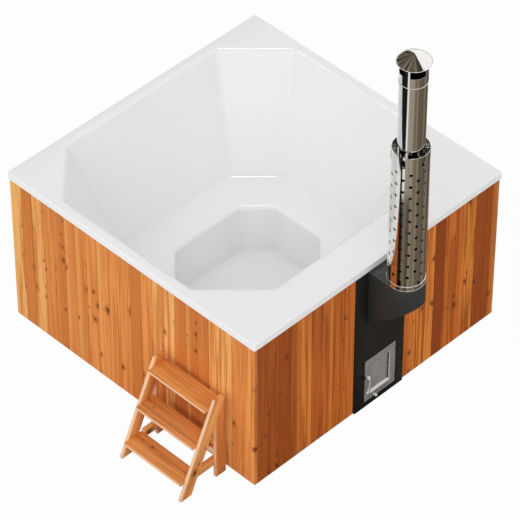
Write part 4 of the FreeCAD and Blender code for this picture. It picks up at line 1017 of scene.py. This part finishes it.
def studio_card(name, size, place, turn=(0, 0, 0)):
    """A card outside the picture that only polished surfaces show, with the angle round the flue on it."""
    card, tree = studio_sheet(name, size, place, turn)
    card.visible_camera = False
    card.visible_diffuse = False
    card.visible_transmission = False
    card.visible_shadow = False
    spot = put(tree, "TexCoord", {}).outputs["Object"]
    way = put(tree, "SeparateXYZ", {0: turned_about(tree, spot, axis, (0, 0, FLUE_FRONT))}).outputs
    angle = sums(tree, "DEGREES", sums(tree, "ARCTAN2", way["Y"], way["X"]))
    rays = {"W": angle, "Scale": 0.045, "Detail": 3.0}
    streaks = put(tree, "TexNoise", rays, noise_dimensions="1D").outputs[0]
    return tree, angle, length_of(tree, way["X"], way["Y"]), streaks


def lit(tree, colour):
    """Makes a card shine evenly."""
    glow = put(tree, "Emission", {"Color": colour, "Strength": 1.0})
    put(tree, "OutputMaterial", {"Surface": glow.outputs[0]})


# The floor card: sand-coloured streaks, a black and a pale stretch at the left, seen in pipe and guard
tree, angle, distance, streaks = studio_card("floor card", FLOOR_CARD, (axis.x, axis.y, CARD_LIFT))
sand = tinted(tree, eased(tree, streaks, 0.36, 0.66), CARD_TAUPE, CARD_SAND)
near = tinted(tree, eased(tree, angle, -34.0, -40.0), sand, CARD_BLACK)
cream = tinted(tree, streaks, CARD_SAND, CARD_CREAM)
far = sand
for first, last, colour in ((10.0, 2.0, cream), (-30.0, -35.0, CARD_WHITE), (-44.0, -48.0, CARD_BLACK),
                            (-110.0, -120.0, CARD_GREY)):
    far = tinted(tree, eased(tree, angle, first, last), far, colour)
lit(tree, tinted(tree, eased(tree, distance, NEAR_END, FAR_START), near, far))

# The cards overhead and behind, seen in the left half of the cap
for name, size, place, turn in (("overhead card", (7.65, 11.0), (-2.175, 0.5, 7.0), (0, 0, 0)),
                                ("back card", (14.2, 7.0), (1.9, 6.0, 3.5), (math.radians(90), 0, 0))):
    tree, _, _, streaks = studio_card(name, size, place, turn)
    lit(tree, tinted(tree, eased(tree, streaks, 0.40, 0.62), CARD_BLACK, CARD_SAND))

world = bpy.data.worlds.new("studio")
world.use_nodes = True
bpy.context.scene.world = world
tree = world.node_tree
background = tree.nodes["Background"].inputs
sky = times(tree, seen_directly(tree), 1.0 - SKY_LEVEL, SKY_LEVEL)
tree.links.new(sky, background["Strength"])
background["Color"].default_value = WHITE


def far_lamp(name, way, level, spread):
    """A lamp far away in one direction, the softer the wider it is spread."""
    lamp = bpy.data.lights.new(name, "SUN")
    lamp.energy = level
    lamp.angle = spread
    stand = placed(name, lamp)
    stand.rotation_euler = way.to_track_quat("Z", "Y").to_euler()
    return stand


far_lamp("soft lamp", LAMP_WAY, LAMP_LEVEL, LAMP_SPREAD)

# Two small lights that only show as thin lines along the liner's rolled edges
for way, power in EDGE_LIGHTS:
    stand = far_lamp("edge light", way, power, EDGE_SPREAD)
    stand.visible_diffuse = False
    stand.visible_transmission = False

# Two strip lamps low in front of the boards that the picture shows
for spot, power in STRIPS:
    strip = bpy.data.lights.new("strip lamp", "AREA")
    strip.shape = "RECTANGLE"
    strip.size, strip.size_y = STRIP_SIZE
    strip.energy = power
    stand = placed("strip lamp", strip)
    stand.location = spot
    stand.rotation_euler = Vector((spot.x, spot.y, 0)).to_track_quat("Z", "Y").to_euler()
    stand.visible_glossy = False

level_back = math.cos(CAMERA_RISE)
back = Vector((math.sin(CAMERA_TURN) * level_back, -math.cos(CAMERA_TURN) * level_back,
               math.sin(CAMERA_RISE)))
camera = placed("camera", bpy.data.cameras.new("camera"))
camera.data.lens = CAMERA_LENS
camera.data.sensor_width = CAMERA_SENSOR
camera.data.clip_end = CAMERA_SIGHT
camera.location = CAMERA_TARGET + back * CAMERA_DISTANCE
camera.rotation_euler = back.to_track_quat("Z", "Y").to_euler()
bpy.context.scene.camera = camera
bpy.context.scene.view_settings.view_transform = "Standard"
